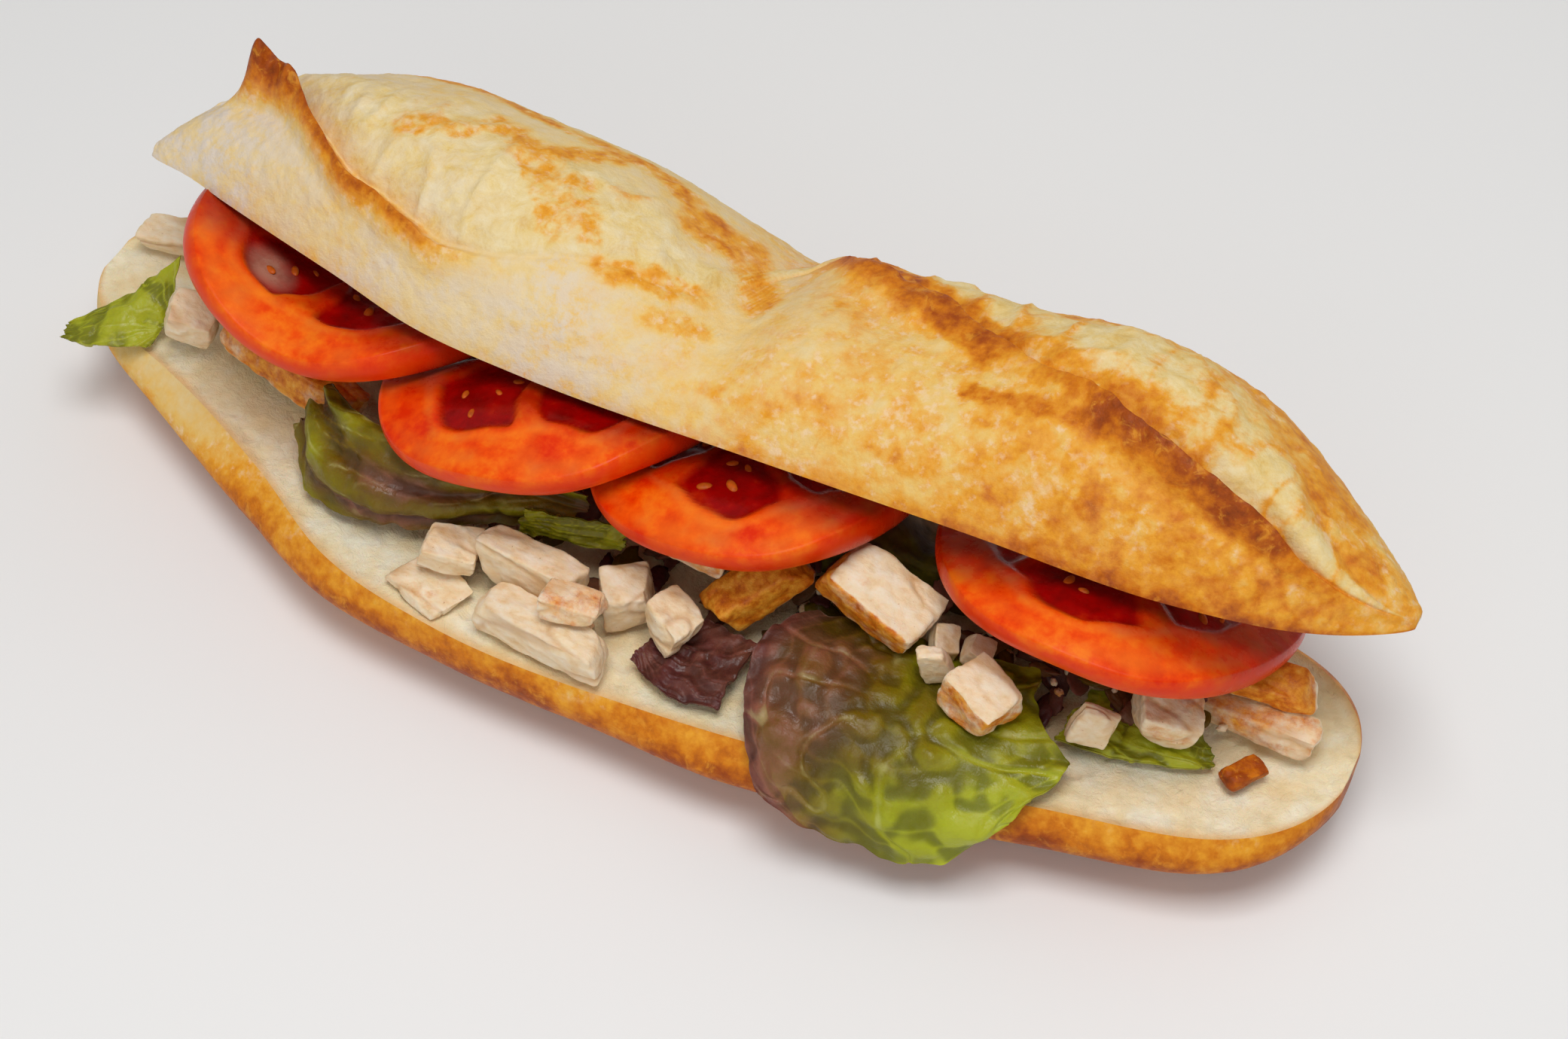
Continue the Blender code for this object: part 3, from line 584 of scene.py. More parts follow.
def heap_finish():
    """The mixed filling under the tomato, dark leaf at its front partly standing in for shade. paint: how deep
    in a gap, where shade is painted, and how much chicken rather than leaf.
    """
    f = Finish("heap", Roughness=0.6, Specular_IOR_Level=0.15)
    gap, meat, _ = f.paint
    lumps = f.cells(190)
    kind = f.noise(110, 3, 0.6)
    leaf = f.ramp(kind, (0.35, (0.07, 0.02, 0.012)), (0.5, (0.10, 0.06, 0.006)), (0.65, (0.15, 0.15, 0.008)))
    mixed = f.ramp(kind, (0.36, (0.16, 0.15, 0.01)), (0.46, (0.60, 0.38, 0.18)), (0.62, (0.84, 0.66, 0.42)))
    colour = f.mix(meat, leaf, mixed)
    # Painted shade in the sunken gaps.
    colour = f.mix(f.times(gap, 0.7), colour, (0.03, 0.014, 0.005))
    colour = f.mix(f.span(lumps, 0.25, 0.55, 0, 0.5), colour, (0.05, 0.025, 0.008))
    f.set("Base Color", colour)
    normal = f.bump(lumps, 0.002, 0.6)
    f.set("Normal", f.bump(f.noise(500, 4, 0.7), 0.0006, 0.6, normal))
    return f.material


def plain_finish(name, colour, roughness):
    f = Finish(name, Roughness=roughness, Specular_IOR_Level=0.2)
    shade = f.noise(600, 3, 0.6)
    dark = tuple(0.6 * c for c in colour)
    f.set("Base Color", f.ramp(shade, (0.35, dark), (0.6, colour)))
    f.set("Normal", f.bump(shade, 0.0002, 0.5))
    return f.material


crust = crust_finish()
crumb = crumb_finish()
tomato = tomato_finish()
lettuce = leaf_finish()
chicken = chicken_finish()
seed_finish = plain_finish("tomato_seed", (0.58, 0.10, 0.004), 0.45)
heap = heap_finish()


# The bread's top half


lid_front, lid_half_width, lid_height = through(LID_FRONT), through(LID_HALF_WIDTH), through(LID_HEIGHT)
lip_place, lip_height, band_width = through(LIP_PLACE), through(LIP_HEIGHT), through(BAND_WIDTH)
ALONG = np.array((0, math.cos(LID_TILT), -math.sin(LID_TILT)))
UP = np.array((0, math.sin(LID_TILT), math.cos(LID_TILT)))


def lid_section(x, around):
    """A point of the plain dome, its outward direction, the direction round the dome, and the end's taper."""
    end = taper(x, LID_TIPS, (11.0, 7.0))
    half, height = lid_half_width(x) * end, lid_height(x) * (0.12 + 0.88 * end)
    c, s = squircle(math.pi * around / GIRTH, 2.25)
    place = stack(x, lid_front(x), LID_FRONT_Z) + ALONG * (lid_half_width(x) - c * half)[..., None]
    place = place + UP * (s * height)[..., None]
    out = UP * (s * np.maximum(half, 1))[..., None] - ALONG * (c * np.maximum(height, 1))[..., None]
    out /= np.linalg.norm(out, axis=-1, keepdims=True)
    return place, out, np.cross(out, (1.0, 0, 0)), end


def mark_share(x, around, way, width):
    """How much each point belongs to a mark that runs along a way of points."""
    nearest = np.full(x.shape, 1e9)
    for (x0, a0), (x1, a1) in zip(way, way[1:]):
        dx, da = x1 - x0, a1 - a0
        t = np.clip(((x - x0) * dx + (around - a0) * da) / (dx ** 2 + da ** 2), 0, 1)
        nearest = np.minimum(nearest, np.hypot(x - x0 - t * dx, around - a0 - t * da))
    return np.exp(-(nearest / (1.35 * width)) ** 4)


def make_lid(rows=520, before=56, behind=92, columns=42):
    """before and behind count the crust's columns beside the lip, and columns those of the cut face."""
    x = stations(LID_TIPS, rows)[:, None]
    plain = stack(x, 0 * x, 0 * x)
    lip_at = lip_place(x) + 1.1 * rough(plain, 7, 3) * ease(lip_height(x))
    near = lip_at * (1 - (1 - np.linspace(0, 1, before)) ** 1.35)
    far = lip_at + (GIRTH - lip_at) * np.linspace(0, 1, behind + 1)[1:] ** 1.35
    around = np.concatenate((near, far), axis=1)
    x = x + 0 * around
    place, out, onward, end = lid_section(x, around)
    t = around / GIRTH
    off = around - lip_at
    lip = np.maximum(lip_height(x), 0) * (1 + 0.22 * rough(place, 5, 8))
    band = np.maximum(band_width(x), 1.0)
    edge = ease(off / LIP_EDGE)
    raised = np.where(off < 0, lip * ease(1 + off / LIP_REACH) ** 1.4, lip * (1 - edge))
    opened = ease(band / 18) * edge * (0.3 + 0.7 * ease(lip / 1.5))
    hollow = -2.2 * (1 - ease(off / (0.45 * band))) + 1.35 * np.sin(math.pi * np.clip(off / band, 0, 1))
    torn = ease((off - 1.2) / 2) * ease((band * 0.95 - off) / (0.3 * band)) * ease(band / 12)
    fold = 1 - np.abs(rough(place * (1, 0.55, 0.55), 11, 21, 2)) * 2.2
    fold = np.clip(fold, 0, 1) ** 3 * torn
    blister = np.clip(rough(place, 4.2, 31, 3), 0, 1) ** 1.5
    fade = ease(t / 0.08) * ease((1 - t) / 0.1)
    stand = (raised + hollow * opened) * fade
    stand = stand + 0.45 * ripple(place, 22, 4) * np.sin(math.pi * t)
    stand = stand + 0.9 * fold + 0.45 * torn * rough(place, 2.6, 12)
    stand = stand - 0.45 * np.sin(math.pi * t) * fade
    stand = stand + (0.60 * blister + 0.20 * rough(place, 1.6, 33) - 0.54) * fade * (1 - 0.5 * torn)
    bent = 0.45 * np.minimum(lip, 3.0) * ease((14 - lip) / 6)
    lean = bent * np.where(off < 0, ease(1 + off / 4.5), 1 - ease(off / (0.7 * LIP_EDGE)))
    points = place + out * (stand * np.minimum(1, 3 * end))[..., None]
    points = points + onward * (lean * fade)[..., None]

    # How dark it is baked: paler at the left, golden at the right, orange brown on the lips of the cuts.
    tone = 0.16 + 0.30 * ease((x + 40) / 80) + 0.12 * ease((x - 55) / 50) * ease(1.6 - around / 36)
    tone = tone + 0.10 * rough(place, 26, 41) + 0.10 * rough(place, 9, 43) + 0.12 * rough(place, 3, 44)
    tone = tone - 0.22 * blister * ease((x + 60) / 90)
    lit = np.clip(lip / 2.4, 0, 1)
    near_lip = lit * np.exp(-(np.where(off < 0, off / 3.6, off / 2.0)) ** 2)
    spike = np.clip((lip - 4) / 4, 0, 1) * ease(1 + off / 9) * (off < 2)
    gold = np.clip(1 - np.abs(rough(place * (1, 0.5, 0.5), 13, 23, 2)) * 3.0, 0, 1) ** 2 * torn
    tone = tone * (1 - 0.45 * torn) + 0.20 * gold + 0.16 * fold
    share = np.clip(near_lip + spike * (1 - near_lip), 0, 1)
    tone = tone + (0.72 + 0.12 * rough(place, 4, 45) + 0.12 * spike - tone) * share
    wander = 1.8 * rough(plain + stack(0 * x, around, 0), 9, 47) + 1.0 * rough(place, 2.6, 48)
    patchy = np.clip(1.0 + 0.7 * rough(place, 4.5, 49), 0, 1)
    marked = 0 * tone
    for way, width, dark in MARKS:
        part = mark_share(x, around + wander, way, width) * patchy * (0.8 + 0.4 * rough(place, 1.6, 50))
        tone = tone + (dark - tone) * part
        marked = np.maximum(marked, part)
    share = np.maximum(share, marked)
    tone = tone + 0.14 * np.exp(-(around / 1.6) ** 2)
    flour = (0.95 - 0.55 * ease((x + 85) / 150)) * ease(1.3 - np.maximum(off, 0) / 40) * (1 - 0.55 * torn)
    flour = flour * (0.75 + 0.6 * rough(place, 15, 51)) + 0.6 * ease((-90 - x) / 18)
    flour = flour * (1 - share) ** 2 * (1 - 0.9 * ease((x + 15) / 60))
    paint = stack(np.clip(tone, 0, 1), np.clip(flour, 0, 1), np.clip(torn, 0, 1))
    tips = [(points[row, 0] + points[row, -1]) / 2 + UP * 1.5 for row in (0, -1)]
    faces = grid_faces(rows + 2, around.shape[1])
    shell, coat = closed_ends(points, paint, tips)
    add_piece("lid_crust", shell, faces, crust, ["bread_top"], coat)

    # The cut face.
    across = np.linspace(0, 1, columns)[None, :]
    front, back = points[:, :1], points[:, -1:]
    face = back + (front - back) * across[..., None]
    dip = 1.2 * np.sin(math.pi * across) * end[:, :1]
    pits = np.clip(rough(face, 5, 61), 0, 1) * 1.4 * np.sin(math.pi * across) * end[:, :1]
    face = face + UP * (dip + pits)[..., None]
    rim = np.exp(-(np.minimum(across, 1 - across) * 60 / 1.4) ** 2) + 0 * x[:, :columns]
    # The pits get painted shade in the crumb finish.
    face, coat = closed_ends(face, stack(rim, 0.25, np.clip(pits, 0, 1)), tips)
    add_piece("lid_crumb", face, grid_faces(rows + 2, columns), crumb, paint=coat)


# The bread's bottom half


bottom_front, bottom_back, bottom_bulge = through(BOTTOM_FRONT), through(BOTTOM_BACK), through(BOTTOM_BULGE)


def bottom_edges(x):
    middle = (bottom_front(x) + bottom_back(x)) / 2
    half = (bottom_back(x) - bottom_front(x)) / 2 * taper(x, BOTTOM_TIPS, (20.0, 15.0))
    return middle - half, middle + half


def make_bottom(rows=420, under=120, across=110):
    """under counts the columns of the crust, and across those of the crumb."""
    x = stations(BOTTOM_TIPS, rows)[:, None]
    front, back = bottom_edges(x)
    middle, half = (front + back) / 2, (back - front) / 2
    depth = BOTTOM_DEPTH * (0.25 + 0.75 * taper(x, BOTTOM_TIPS, (7.0, 7.0)))
    w = np.linspace(0, 1, under)[None, :]
    t = w - 0.045 * np.sin(4 * math.pi * w)
    c, s = squircle(math.pi * t, 3.2)
    swell = bottom_bulge(x) * np.sin(math.pi * np.minimum(1.0, 1.6 * s)) * taper(x, BOTTOM_TIPS, (9.0, 9.0))
    place = stack(x, middle - c * (half + swell), CUT_Z - depth * s)
    lump = 0.4 * ripple(place, 26, 1) * s + 0.35 * np.clip(rough(place, 5, 3), 0, 1) * s - 0.15 * s
    place[..., 1] -= lump * c
    place[..., 2] = np.maximum(place[..., 2], 0.0)
    down = 1 - place[..., 2] / CUT_Z
    tone = 0.54 + 0.18 * ease(down * 3) + 0.08 * ease((x + 60) / 110) + 0.08 * rough(place, 18, 5)
    tone = tone - 0.34 * ease((-70 - x) / 36) * ease(1.25 - down * 2.2) + 0.08 * rough(place, 4, 6)
    flour = 0.5 * ease((down - 0.5) / 0.4) * (0.7 + 0.6 * rough(place, 12, 7))
    paint = stack(np.clip(tone, 0, 0.8), np.clip(flour, 0, 1), 0 * tone)
    tips = [np.append(place[row, [0, -1], :2].mean(0), CUT_Z - 2) for row in (0, -1)]
    shell, coat = closed_ends(place, paint, tips)
    faces = grid_faces(rows + 2, under, flip=True)
    add_piece("bottom_crust", shell, faces, crust, ["bread_bottom"], coat)

    v = np.linspace(0, 1, across)[None, :]
    y = front + (back - front) * v
    flat = stack(x, y, 0.0 * y)
    inner = np.sin(math.pi * v)
    sag = 0.8 * inner + 0.35 * ripple(flat, 14, 2) * inner ** 0.5
    pores = np.clip(rough(flat, 5.5, 71, 3) - 0.40, 0, 1) * 2.4
    tear = 0.55 * rough(flat @ SKEW, 4.5, 75, 5)
    border = np.minimum(y - front, back - y)
    keep = ease(border / 2.5)
    ends = taper(x, BOTTOM_TIPS, (8.0, 8.0))
    z = CUT_Z - (sag + np.minimum(pores, 1.6) * keep + np.maximum(tear, 0) * keep) * ends
    rim = np.exp(-(border / 1.5) ** 2) * 0.75
    # Browner towards the filling, in the middle of the loaf.
    browner = ease((y + 42) / 16) * ease((100 - np.abs(x)) / 40) * 0.5
    # The pores get painted shade in the crumb finish.
    coat = stack(rim, np.clip(browner, 0, 1), np.clip(pores * keep, 0, 1))
    face, coat = closed_ends(stack(x, y, z), coat, tips)
    add_piece("bottom_crumb", face, grid_faces(rows + 2, across), crumb, paint=coat)


# Tomato


def ridge_height(y):
    off = y - RIDGE_Y
    return RIDGE_Z - RIDGE_SLOPE * (np.sqrt(off * off + RIDGE_SOFTNESS ** 2) - RIDGE_SOFTNESS)


def slice_height(piece, x, y):
    """Height of the middle of one slice. Each half of it rises or falls towards its end, with a soft bend."""
    along = (x - piece["at"][0]) / piece["radius"]
    soft = (np.hypot(along, BEND_SOFTNESS) - BEND_SOFTNESS) / (math.hypot(1, BEND_SOFTNESS) - BEND_SOFTNESS)
    rise = (piece["right"] - piece["left"]) / 2 * along + (piece["right"] + piece["left"]) / 2 * soft
    return ridge_height(y) + rise - piece["drop"]


def slice_point(piece, radius, angle, level):
    """A point of a slice: level is -1 on its lower face and 1 on its upper one."""
    cx, cy = piece["at"]
    wobble = 1 + 0.02 * np.sin(2 * angle + piece["turn"]) + 0.012 * np.sin(5 * angle)
    x, y = cx + radius * wobble * np.cos(angle), cy + radius * wobble * np.sin(angle)
    slope_x = slice_height(piece, x + 0.5, y) - slice_height(piece, x - 0.5, y)
    slope_y = slice_height(piece, x, y + 0.5) - slice_height(piece, x, y - 0.5)
    normal = stack(-slope_x, -slope_y, 0 * x + 1)
    normal /= np.linalg.norm(normal, axis=-1, keepdims=True)
    return stack(x, y, slice_height(piece, x, y)) + normal * (level * SLICE_THICKNESS / 2)[..., None]


def make_slice(index, piece, sectors=170):
    """A slice from the middle of its upper face, round its rim, to the middle of its lower face."""
    angle = np.linspace(0, 2 * math.pi, sectors, endpoint=False)[None, :]
    seed = 100 + 7 * index
    face = np.linspace(0.02, 0.965, 46) ** 0.8
    bend = np.linspace(0, math.pi / 2, 6)[1:]
    rim = 0.965 + 0.035 * np.sin(bend)
    fall = 0.78 * np.cos(bend) + 0.22 * np.cos(bend) ** 4
    share = np.concatenate((face, rim, rim[::-1][1:], face[::-1][1:]))[:, None]
    level = np.concatenate((0 * face + 1, fall, -fall[::-1][1:], 0 * face[1:] - 1))[:, None]
    radius = share * TOMATO_RADIUS
    circle = stack(radius * np.cos(angle), radius * np.sin(angle), 0 * share + 40 * index)
    bent = angle + 0.10 * ripple(circle, 9, seed) + math.radians(piece["cells"])
    wall = 0.715 + 0.05 * ripple(circle, 8, seed + 1) + 0.04 * np.cos(CELLS * bent)
    spoke = np.cos(CELLS * bent) + 0.35 * ripple(circle, 7, seed + 2)
    cell = ease((spoke + 0.88) / 0.30) * ease((wall - share) / 0.05) * ease((share - 0.14) / 0.08)
    inner = (0.72 - 0.5 * ease((0.25 + spoke) / -0.5)) * ease((wall - share) / 0.06)
    flat = (np.abs(level) > 0.97) * 1.0
    sunk = cell * flat * (0.30 + 0.05 * ripple(circle, 3, seed + 3))
    surface = 0.035 * rough(circle, 4, seed + 4) * flat
    points = slice_point(piece, piece["radius"] * share, angle, level * (1 - sunk - np.abs(surface)))
    skin = ease((share - 0.975) / 0.024) + 0 * angle
    pale = 0.45 * np.exp(-((share - wall - 0.035) / 0.03) ** 2) + 0.35 * np.exp(-(share / 0.16) ** 2)
    pale = pale + 0.3 * np.exp(-((share - 0.90) / 0.05) ** 2) + 0.4 * rough(circle, 6, seed + 5)
    pale = pale * (1 - ease((wall - share) / 0.06))
    # Painted shadow of the lid: flesh just behind and under the lid's front edge is painted as dark gel, with
    # less pale flesh.
    under = points[..., 1] - lid_front(points[..., 0])
    painted_lid_shadow = 0.7 * ease((under + 9) / 9) * ease((34 - under) / 12)
    pale = pale * (1 - painted_lid_shadow)
    # The chamber in the first slice is made pale, for the painted greyish reflection on its gel.
    if index == 1:
        off = np.hypot((share - REFLECTION_CELL_SHARE) / 0.09, (angle - REFLECTION_CELL_ANGLE) * REFLECTION_CELL_SHARE / 0.14)
        pale = pale + ease((1.7 - off) / 1.3)
    gel = np.maximum(cell, inner + 0.2 * rough(circle, 3, seed + 6)) * flat
    # The first channel carries the gel and the painted shadow of the lid.
    paint = stack(gel + (1 - gel) * painted_lid_shadow, skin, np.clip(pale, 0, 1))
    faces = grid_faces(len(share), sectors, wrap=True, flip=True)
    add_piece(f"slice_{index}", points, faces, tomato, [f"tomato_slice_{index}"], paint)

    # Seeds in the gel, on the upper face, kept apart from each other.
    rng = np.random.default_rng(seed)
    spots = []
    for _ in range(SEED_TRIES):
        a, r = rng.uniform(0, 2 * math.pi), rng.uniform(0.30, 0.66)
        spoke = math.cos(CELLS * (a + math.radians(piece["cells"])))
        apart = [max(abs(a - b) * r / 2.6, abs(r - q) / 2.4) * TOMATO_RADIUS for b, q in spots]
        if spoke > 0.1 and min(apart, default=2) > 1:
            spots.append((a, r))
    spots = spots[:SEEDS]
    shape, triangles = ball_mesh(2)
    points, faces = [], []
    for a, r in spots:
        at = slice_point(piece, np.array(piece["radius"] * r), np.array(a), np.array(0.70))
        turn = rng.uniform(0, math.pi)
        egg = shape * (1.5, 0.85, 0.45) * rng.uniform(0.6, 1.1)
        c, s = math.cos(turn), math.sin(turn)
        egg = egg @ np.array(((c, s, 0), (-s, c, 0), (0, 0, 1)))
        faces.append(triangles + len(shape) * len(points))
        points.append(egg + at)
    add_piece(f"seeds_{index}", np.array(points), np.concatenate(faces).tolist(), seed_finish)


# Lettuce


def blend(points, t):
    """Points of the smooth curve through equally spaced points, for an array of t from 0 to 1."""
    points = np.concatenate(([2 * points[0] - points[1]], points, [2 * points[-1] - points[-2]]))
    spans = len(points) - 3
    i = np.minimum((t * spans).astype(int), spans - 1)
    f = (t * spans - i).reshape(-1, *[1] * (points.ndim - 1))
    a, b, c, d = (points[i + k] for k in range(4))
    return 0.5 * (2 * b + (c - a) * f + (2 * a - 5 * b + 4 * c - d) * f ** 2
                  + (3 * b - a - 3 * c + d) * f ** 3)


def make_leaf(name, green, bright, along, across, root, spread=2.2, swell=0.8, scallop=0.035,
              notch=lambda v: 0 * v, folds=(0, 0)):
    """A leaf. green and bright are functions of the place along and across it, from 0 to 1, and root is the
    place that its veins spread from. folds gives how many pleats it has, and how deep they are."""
    seed = sum(map(ord, name))
    u, v = np.linspace(0, 1, along), np.linspace(0, 1, across)
    uu, vv = np.meshgrid(u, v, indexing="ij")
    flat = stack(uu * 6, vv * 6, 0 * uu + seed)
    pull = scallop * (ripple(flat, 0.9, 1) + 0.25 * ripple(flat, 0.3, 2))
    us = np.clip(uu + (pull - scallop) * np.abs(2 * uu - 1) ** 3 * np.sign(uu - 0.5), 0, 1)
    vs = np.clip(vv + (pull - scallop) * np.abs(2 * vv - 1) ** 3 * np.sign(vv - 0.5), 0, 1)
    us = us * (1 - notch(vs))
    sheet = blend(np.stack([blend(row, v) for row in np.array(LEAVES[name], float)]), u)

    def sample(a, b):
        i, j = a * (along - 1), b * (across - 1)
        i0, j0 = np.minimum(i.astype(int), along - 2), np.minimum(j.astype(int), across - 2)
        fi, fj = (i - i0)[..., None], (j - j0)[..., None]
        top = sheet[i0, j0] * (1 - fj) + sheet[i0, j0 + 1] * fj
        low = sheet[i0 + 1, j0] * (1 - fj) + sheet[i0 + 1, j0 + 1] * fj
        return top * (1 - fi) + low * fi

    base = sample(us, vs)
    # Veins that fan out from a point at the leaf's root, and finer ones across between them.
    root_u, root_v = root
    fan = np.arctan2(vv - root_v, uu - root_u + 1e-6) * spread + 0.35 * ripple(flat, 1.1, 5)
    reach = np.hypot(uu - root_u, vv - root_v)
    main = np.exp(-(np.abs(fan - np.round(fan)) * reach / 0.020) ** 2) * ease((reach - 0.08) / 0.2)
    rungs = reach * 8.0 + 0.8 * ripple(flat, 0.9, 6)
    small = np.exp(-(np.abs(rungs - np.round(rungs)) / 0.10) ** 2) * ease(reach / 0.15)
    vein = np.clip(main + 0.35 * small, 0, 1)
    normal = np.cross(np.gradient(base, axis=0), np.gradient(base, axis=1))
    normal /= np.linalg.norm(normal, axis=-1, keepdims=True) + 1e-12
    if normal[..., 2].mean() < 0:
        normal = -normal
    bubbles = rough(base + 1.5 * stack(ripple(base, 9, 61), ripple(base, 9, 62), 0 * uu), 7.0, seed % 50, 2)
    bubbles = np.sqrt(bubbles ** 2 + 0.02)
    crest = np.cos(2 * math.pi * (folds[0] * vv + 0.35 * uu + 0.28 * ripple(flat, 1.7, 11))) * (folds[0] > 0)
    # Painted shade in the valleys between the puckers and between the folds; the second paint channel carries
    # it with the veins.
    deep = 0.85 * ease((0.38 - bubbles) / 0.24) * (1 - 0.5 * folds[1]) + folds[1] * ease(-crest - 0.2)
    deep = np.clip(deep, 0, 1)
    vein_and_shade = 0.5 + 0.5 * vein * (1 - 0.6 * deep) - 0.5 * deep * (1 - 0.7 * vein)
    pucker = swell * (1.9 * bubbles - 0.3 * main) + 0.36 * rough(base, 3.0, seed % 31) + folds[1] * crest
    pucker = pucker + 0.2 * np.cos(2 * math.pi * fan) * ease((reach - 0.1) / 0.3) * swell
    edge = np.minimum(np.minimum(uu, 1 - uu), np.minimum(vv, 1 - vv))
    curl = 0.5 * (1 - ease(edge / 0.10)) * ripple(flat, 0.5, 9)
    top = base + normal * (0.2 + pucker + curl)[..., None]
    low = top - normal * (LEAF_THICKNESS + 0.5 * vein)[..., None]
    n = along * across
    faces = grid_faces(along, across) + grid_faces(along, across, flip=True, start=n)
    rim = [i * across for i in range(along)] + [(along - 1) * across + j for j in range(1, across)]
    rim += [i * across + across - 1 for i in range(along - 2, -1, -1)] + list(range(across - 2, 0, -1))
    faces += [[a, b, b + n, a + n] for a, b in zip(rim, rim[1:] + rim[:1])]
    # Painted light on the folds: crests are painted greener and brighter, and valleys more purple.
    paint = stack(np.clip(green(uu, vv) + 0.14 * crest, 0, 1), vein_and_shade, np.clip(bright(uu, vv), 0, 1))
    points, coat = np.concatenate((top, low)), np.concatenate((paint, paint))
    add_piece(name + "_look", points, faces, lettuce, [name], coat)


def front_green(u, v):
    """Purple at the left rim, olive brown in the middle, and green at the right and the lower edge."""
    green = 0.30 + 0.34 * ease((v - 0.36) / 0.28) + 0.26 * ease((u - 0.50) / 0.25) * ease((v - 0.22) / 0.22)
    green = green + 0.16 * ease((v - 0.66) / 0.2) + 0.12 * ease((0.16 - u) / 0.1)
    return green - 0.20 * ease((0.16 - v) / 0.12) - 0.05 * ease((u - 0.8) / 0.2) * ease((0.3 - v) / 0.2)


def front_bright(u, v):
    return 0.6 * ease((v - 0.64) / 0.2) * ease((u - 0.2) / 0.3) + 0.25 * ease((u - 0.62) / 0.2) * (v > 0.2)


def front_notch(v):
    """The lower edge has two rounded lobes with a notch between them."""
    middle = 0.07 * np.exp(-((v - 0.47) / 0.05) ** 2)
    return middle + 0.16 * ease((0.22 - v) / 0.22) + 0.14 * ease((v - 0.82) / 0.18)


def make_leaves():
    make_leaf("leaf_front", front_green, front_bright, 150, 120, (0.30, 0.62), 1.6, 1.5, 0.02, front_notch)
    make_leaf("leaf_left", lambda u, v: 0.40 + 0.12 * np.sin(9 * u) + 0.14 * v, lambda u, v: 0 * v,
              150, 60, (-0.1, 0.5), 3.0, 1.1, folds=(2.2, 0.9))
    make_leaf("leaf_tip", lambda u, v: 0.92 + 0 * u, lambda u, v: 0.35 + 0.4 * (1 - v), 80, 60, (1.1, 0.4))
    # A purple leaf at the darkest end of the ramp, darker partly for the shade that it lies in under the front
    # leaf.
    make_leaf("leaf_shadow", lambda u, v: 0.02 + 0.08 * v, lambda u, v: 0 * u, 70, 60, (-0.1, 0.5), 3.0, 1.4)
    make_leaf("leaf_mid", lambda u, v: 0.76 + 0 * u, lambda u, v: 0.12 + 0 * u, 80, 30, (-0.1, 0.5))
    make_leaf("leaf_right", lambda u, v: 0.92 + 0 * u, lambda u, v: 0.5 + 0.3 * v, 80, 60, (-0.1, 0.6))
    make_leaf("leaf_back_1", lambda u, v: 0.74 + 0.2 * v, lambda u, v: 0.5 * v, 110, 50, (-0.1, 0.2), 3.0)
    make_leaf("leaf_back_2", lambda u, v: 0.35 + 0.45 * u, lambda u, v: 0.2 * v, 110, 50, (-0.1, 0.2), 3.0)


# Chicken


def fine_mesh(name, times):
    """The CAD node's mesh, welded and split several times: points in millimetres, normals and faces."""
    form = bmesh.new()
    form.from_mesh(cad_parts[name].data)
    bmesh.ops.remove_doubles(form, verts=form.verts, dist=1e-6)
    for step in range(times):
        bmesh.ops.subdivide_edges(form, edges=form.edges, cuts=1, use_grid_fill=True)
        if step > 0:
            bmesh.ops.smooth_vert(form, verts=form.verts, factor=0.5, use_axis_x=True, use_axis_y=True,
                                  use_axis_z=True)
    form.normal_update()
    normals = np.array([tuple(v.normal) for v in form.verts])
    points, faces = unpack(form)
    return points / MM - SHIFT, normals, faces


def make_chunk(name, times=3, finish=None):
    """A piece of chicken, or with another finish a chip of crust, kept within the box of its CAD solid."""
    seed = sum(map(ord, name))
    points, normals, faces = fine_mesh(name, times)
    low, high = points.min(0), points.max(0)
    size = (high - low).max()
    spread = np.linalg.svd(points - points.mean(0), full_matrices=False)[2]
    local = (points - (high + low) / 2) @ spread.T
    grain = local * (0.35, 1, 1)
    fibre = rough(grain, 3.4, seed, 3)
    # Cracks along the grain, sunk into the shape and painted darker as shade in the chicken finish.
    crack = np.clip(1 - np.abs(ripple(grain, 5.0, seed + 5)) * 6, 0, 1) * ease(size / 8 - 0.4)
    scale = min(1.0, size / 11)
    lump = 0.34 * fibre - 0.34 * crack + 0.45 * rough(local, 4.5, seed + 3, 2)
    lump = lump + 0.18 * rough(local, 1.3, seed + 4, 2)
    points = points + normals * (lump * scale)[:, None]
    points = low + (points - points.min(0)) / np.ptp(points, axis=0) * (high - low)
    amount, facing = SEARED.get(name, PALE)
    facing = np.array(facing, float) / np.linalg.norm(facing)
    side = normals @ facing
    browned = amount * (0.35 + 0.65 * ease((side + 0.15) / 0.6)) + 0.15 * rough(local, 5, seed + 9)
    pink = 0.5 + 0.6 * rough(local, 8, seed + 11)
    if finish is not None:
        browned, pink, crack = 0.82 + 0.2 * rough(local, 3, seed), 0 * pink, 0 * crack
    paint = stack(np.clip(browned, 0, 1), np.clip(pink, 0, 1), np.clip(crack, 0, 1))
    add_piece(name + "_look", points, faces, finish or chicken, [name], paint)


def make_bed():
    points, normals, faces = fine_mesh("filling_bed", 2)
    lumps = np.abs(rough(points, 7, 201, 3))
    points = points + normals * (2.0 * lumps - 1.0 + 0.3 * rough(points, 2.2, 205, 2))[:, None]
    # Painted shade in the sunken gaps; dark leaf at the front, partly standing in for shade, and chicken at
    # the back.
    paint = stack(ease(1 - lumps / 0.18), ease((points[:, 1] + 4) / 8), 0 * lumps)
    add_piece("bed_look", points, faces, heap, ["filling_bed"], paint)


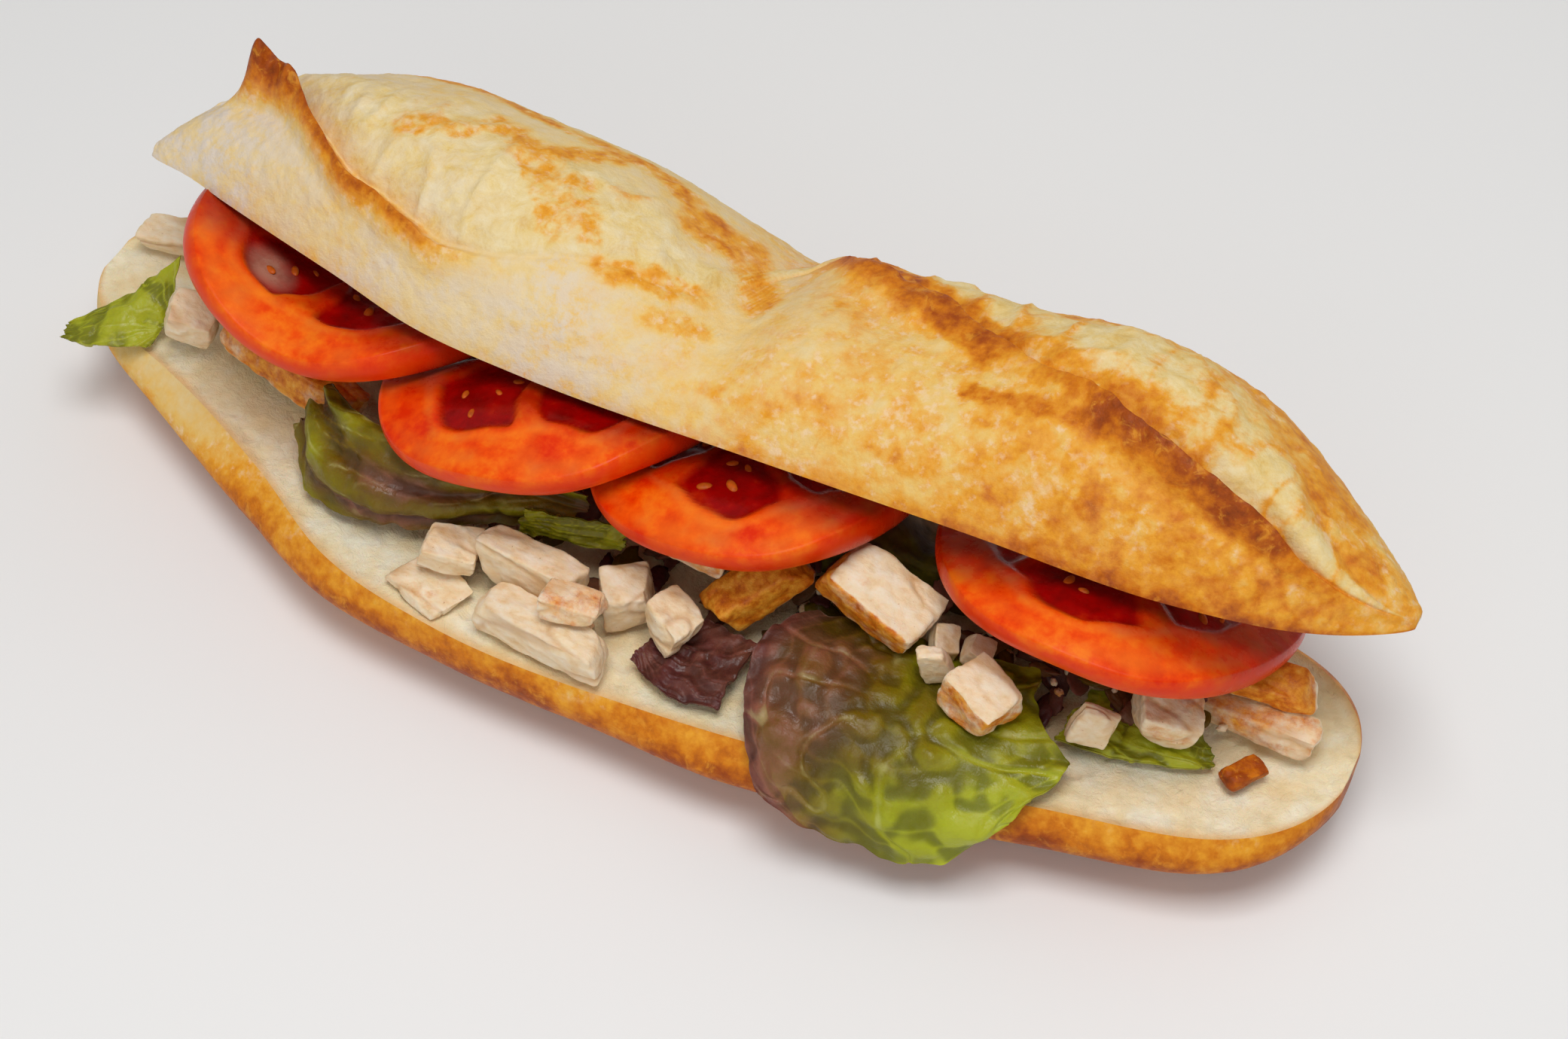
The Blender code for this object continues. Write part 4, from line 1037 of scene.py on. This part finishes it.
def make_bits(name, count, shape, finish, seed, paint):
    """Small pieces that lie in front of the heap, each one a pinched ball."""
    rng = np.random.default_rng(seed)
    ball, triangles = ball_mesh(3)
    points, faces, coat = [], [], []
    for k in range(count):
        x = rng.uniform(*BITS_ALONG)
        front = rng.uniform(-43 + 18 * ease((x - 25) / 10) + 10 * ease((x - 75) / 15), -11)
        depth = rng.uniform(0, 1) ** 1.5
        at = np.array((x, front, CUT_Z + 0.5 + depth * 3 + 9 * ease((front + 22) / 10) * rng.uniform(0, 1)))
        turn = Euler(rng.uniform(-0.6, 0.6, 2).tolist() + [rng.uniform(0, math.pi)]).to_matrix()
        size = rng.uniform(0.5, 1.15)
        rugged = ball * (1 + 0.35 * ripple(ball * 2 + 9 * k, 1.0, seed))[:, None] * shape * size
        points.append(rugged @ np.array(turn) + at)
        faces.append(triangles + k * len(ball))
        coat.append(np.broadcast_to(paint(rng), ball.shape))
    points, faces, coat = (np.concatenate(part) for part in (points, faces, coat))
    add_piece(name, points, faces.tolist(), finish, paint=coat)


make_lid()
make_bottom()
for number, piece in enumerate(SLICES, 1):
    make_slice(number, piece)
make_leaves()
for node in sorted(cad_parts):
    if node.startswith("chicken_"):
        make_chunk(node)
make_chunk("crust_chip", 2, crust)
make_bed()
# Dark leaf flakes: partly leaf scraps, partly standing in for shade in the gaps, and their middling second
# channel paints some shade on them.
make_bits("leaf_and_shade_bits", 90, (4.2, 2.4, 0.7), lettuce, 3,
          lambda rng: (rng.uniform(0, 0.5), 0.3, 0))
# The chicken crumbs carry a little painted crack shade all over.
make_bits("chicken_bits", 60, (1.5, 1.1, 0.9), chicken, 5,
          lambda rng: (rng.uniform(0.1, 0.6), 0.5, 0.2))


# Floor, light and camera


def make_stage():
    bpy.ops.mesh.primitive_plane_add(size=FLOOR_SIZE, location=(0, 0, 0))
    floor = bpy.context.object
    floor.name = "floor"
    paper = bpy.data.materials.new("paper")
    paper.use_nodes = True
    shader = paper.node_tree.nodes["Principled BSDF"]
    shader.inputs["Base Color"].default_value = (FLOOR_TONE, FLOOR_TONE, FLOOR_TONE, 1)
    shader.inputs["Roughness"].default_value = 0.9
    floor.data.materials.append(paper)
    world = bpy.data.worlds.new("studio")
    bpy.context.scene.world = world
    world.use_nodes = True
    world.node_tree.nodes["Background"].inputs["Color"].default_value = (1.0, 0.985, 0.96, 1)
    world.node_tree.nodes["Background"].inputs["Strength"].default_value = WORLD_LIGHT
    for name, place, size, power in LAMPS:
        lamp = bpy.data.lights.new(name, "AREA")
        lamp.size = size
        lamp.energy = power
        holder = new_object(name, lamp)
        holder.location = place
        holder.rotation_euler = (Vector(LAMPS_FACE) - Vector(place)).to_track_quat("-Z", "Y").to_euler()


def make_camera():
    level = math.cos(CAMERA_RISE)
    back = np.array((math.sin(CAMERA_TURN) * level, -math.cos(CAMERA_TURN) * level, math.sin(CAMERA_RISE)))
    data = bpy.data.cameras.new("camera")
    data.lens = CAMERA_LENS
    data.sensor_width = CAMERA_SENSOR
    data.clip_start = 0.01
    camera = new_object("camera", data)
    place = Vector((CAMERA_TARGET + SHIFT + back * CAMERA_DISTANCE) * MM)
    look = Vector(-back).to_track_quat("-Z", "Y").to_matrix().to_4x4()
    camera.matrix_world = Matrix.Translation(place) @ look
    bpy.context.scene.camera = camera


make_stage()
make_camera()
bpy.context.scene.view_settings.view_transform = "Standard"
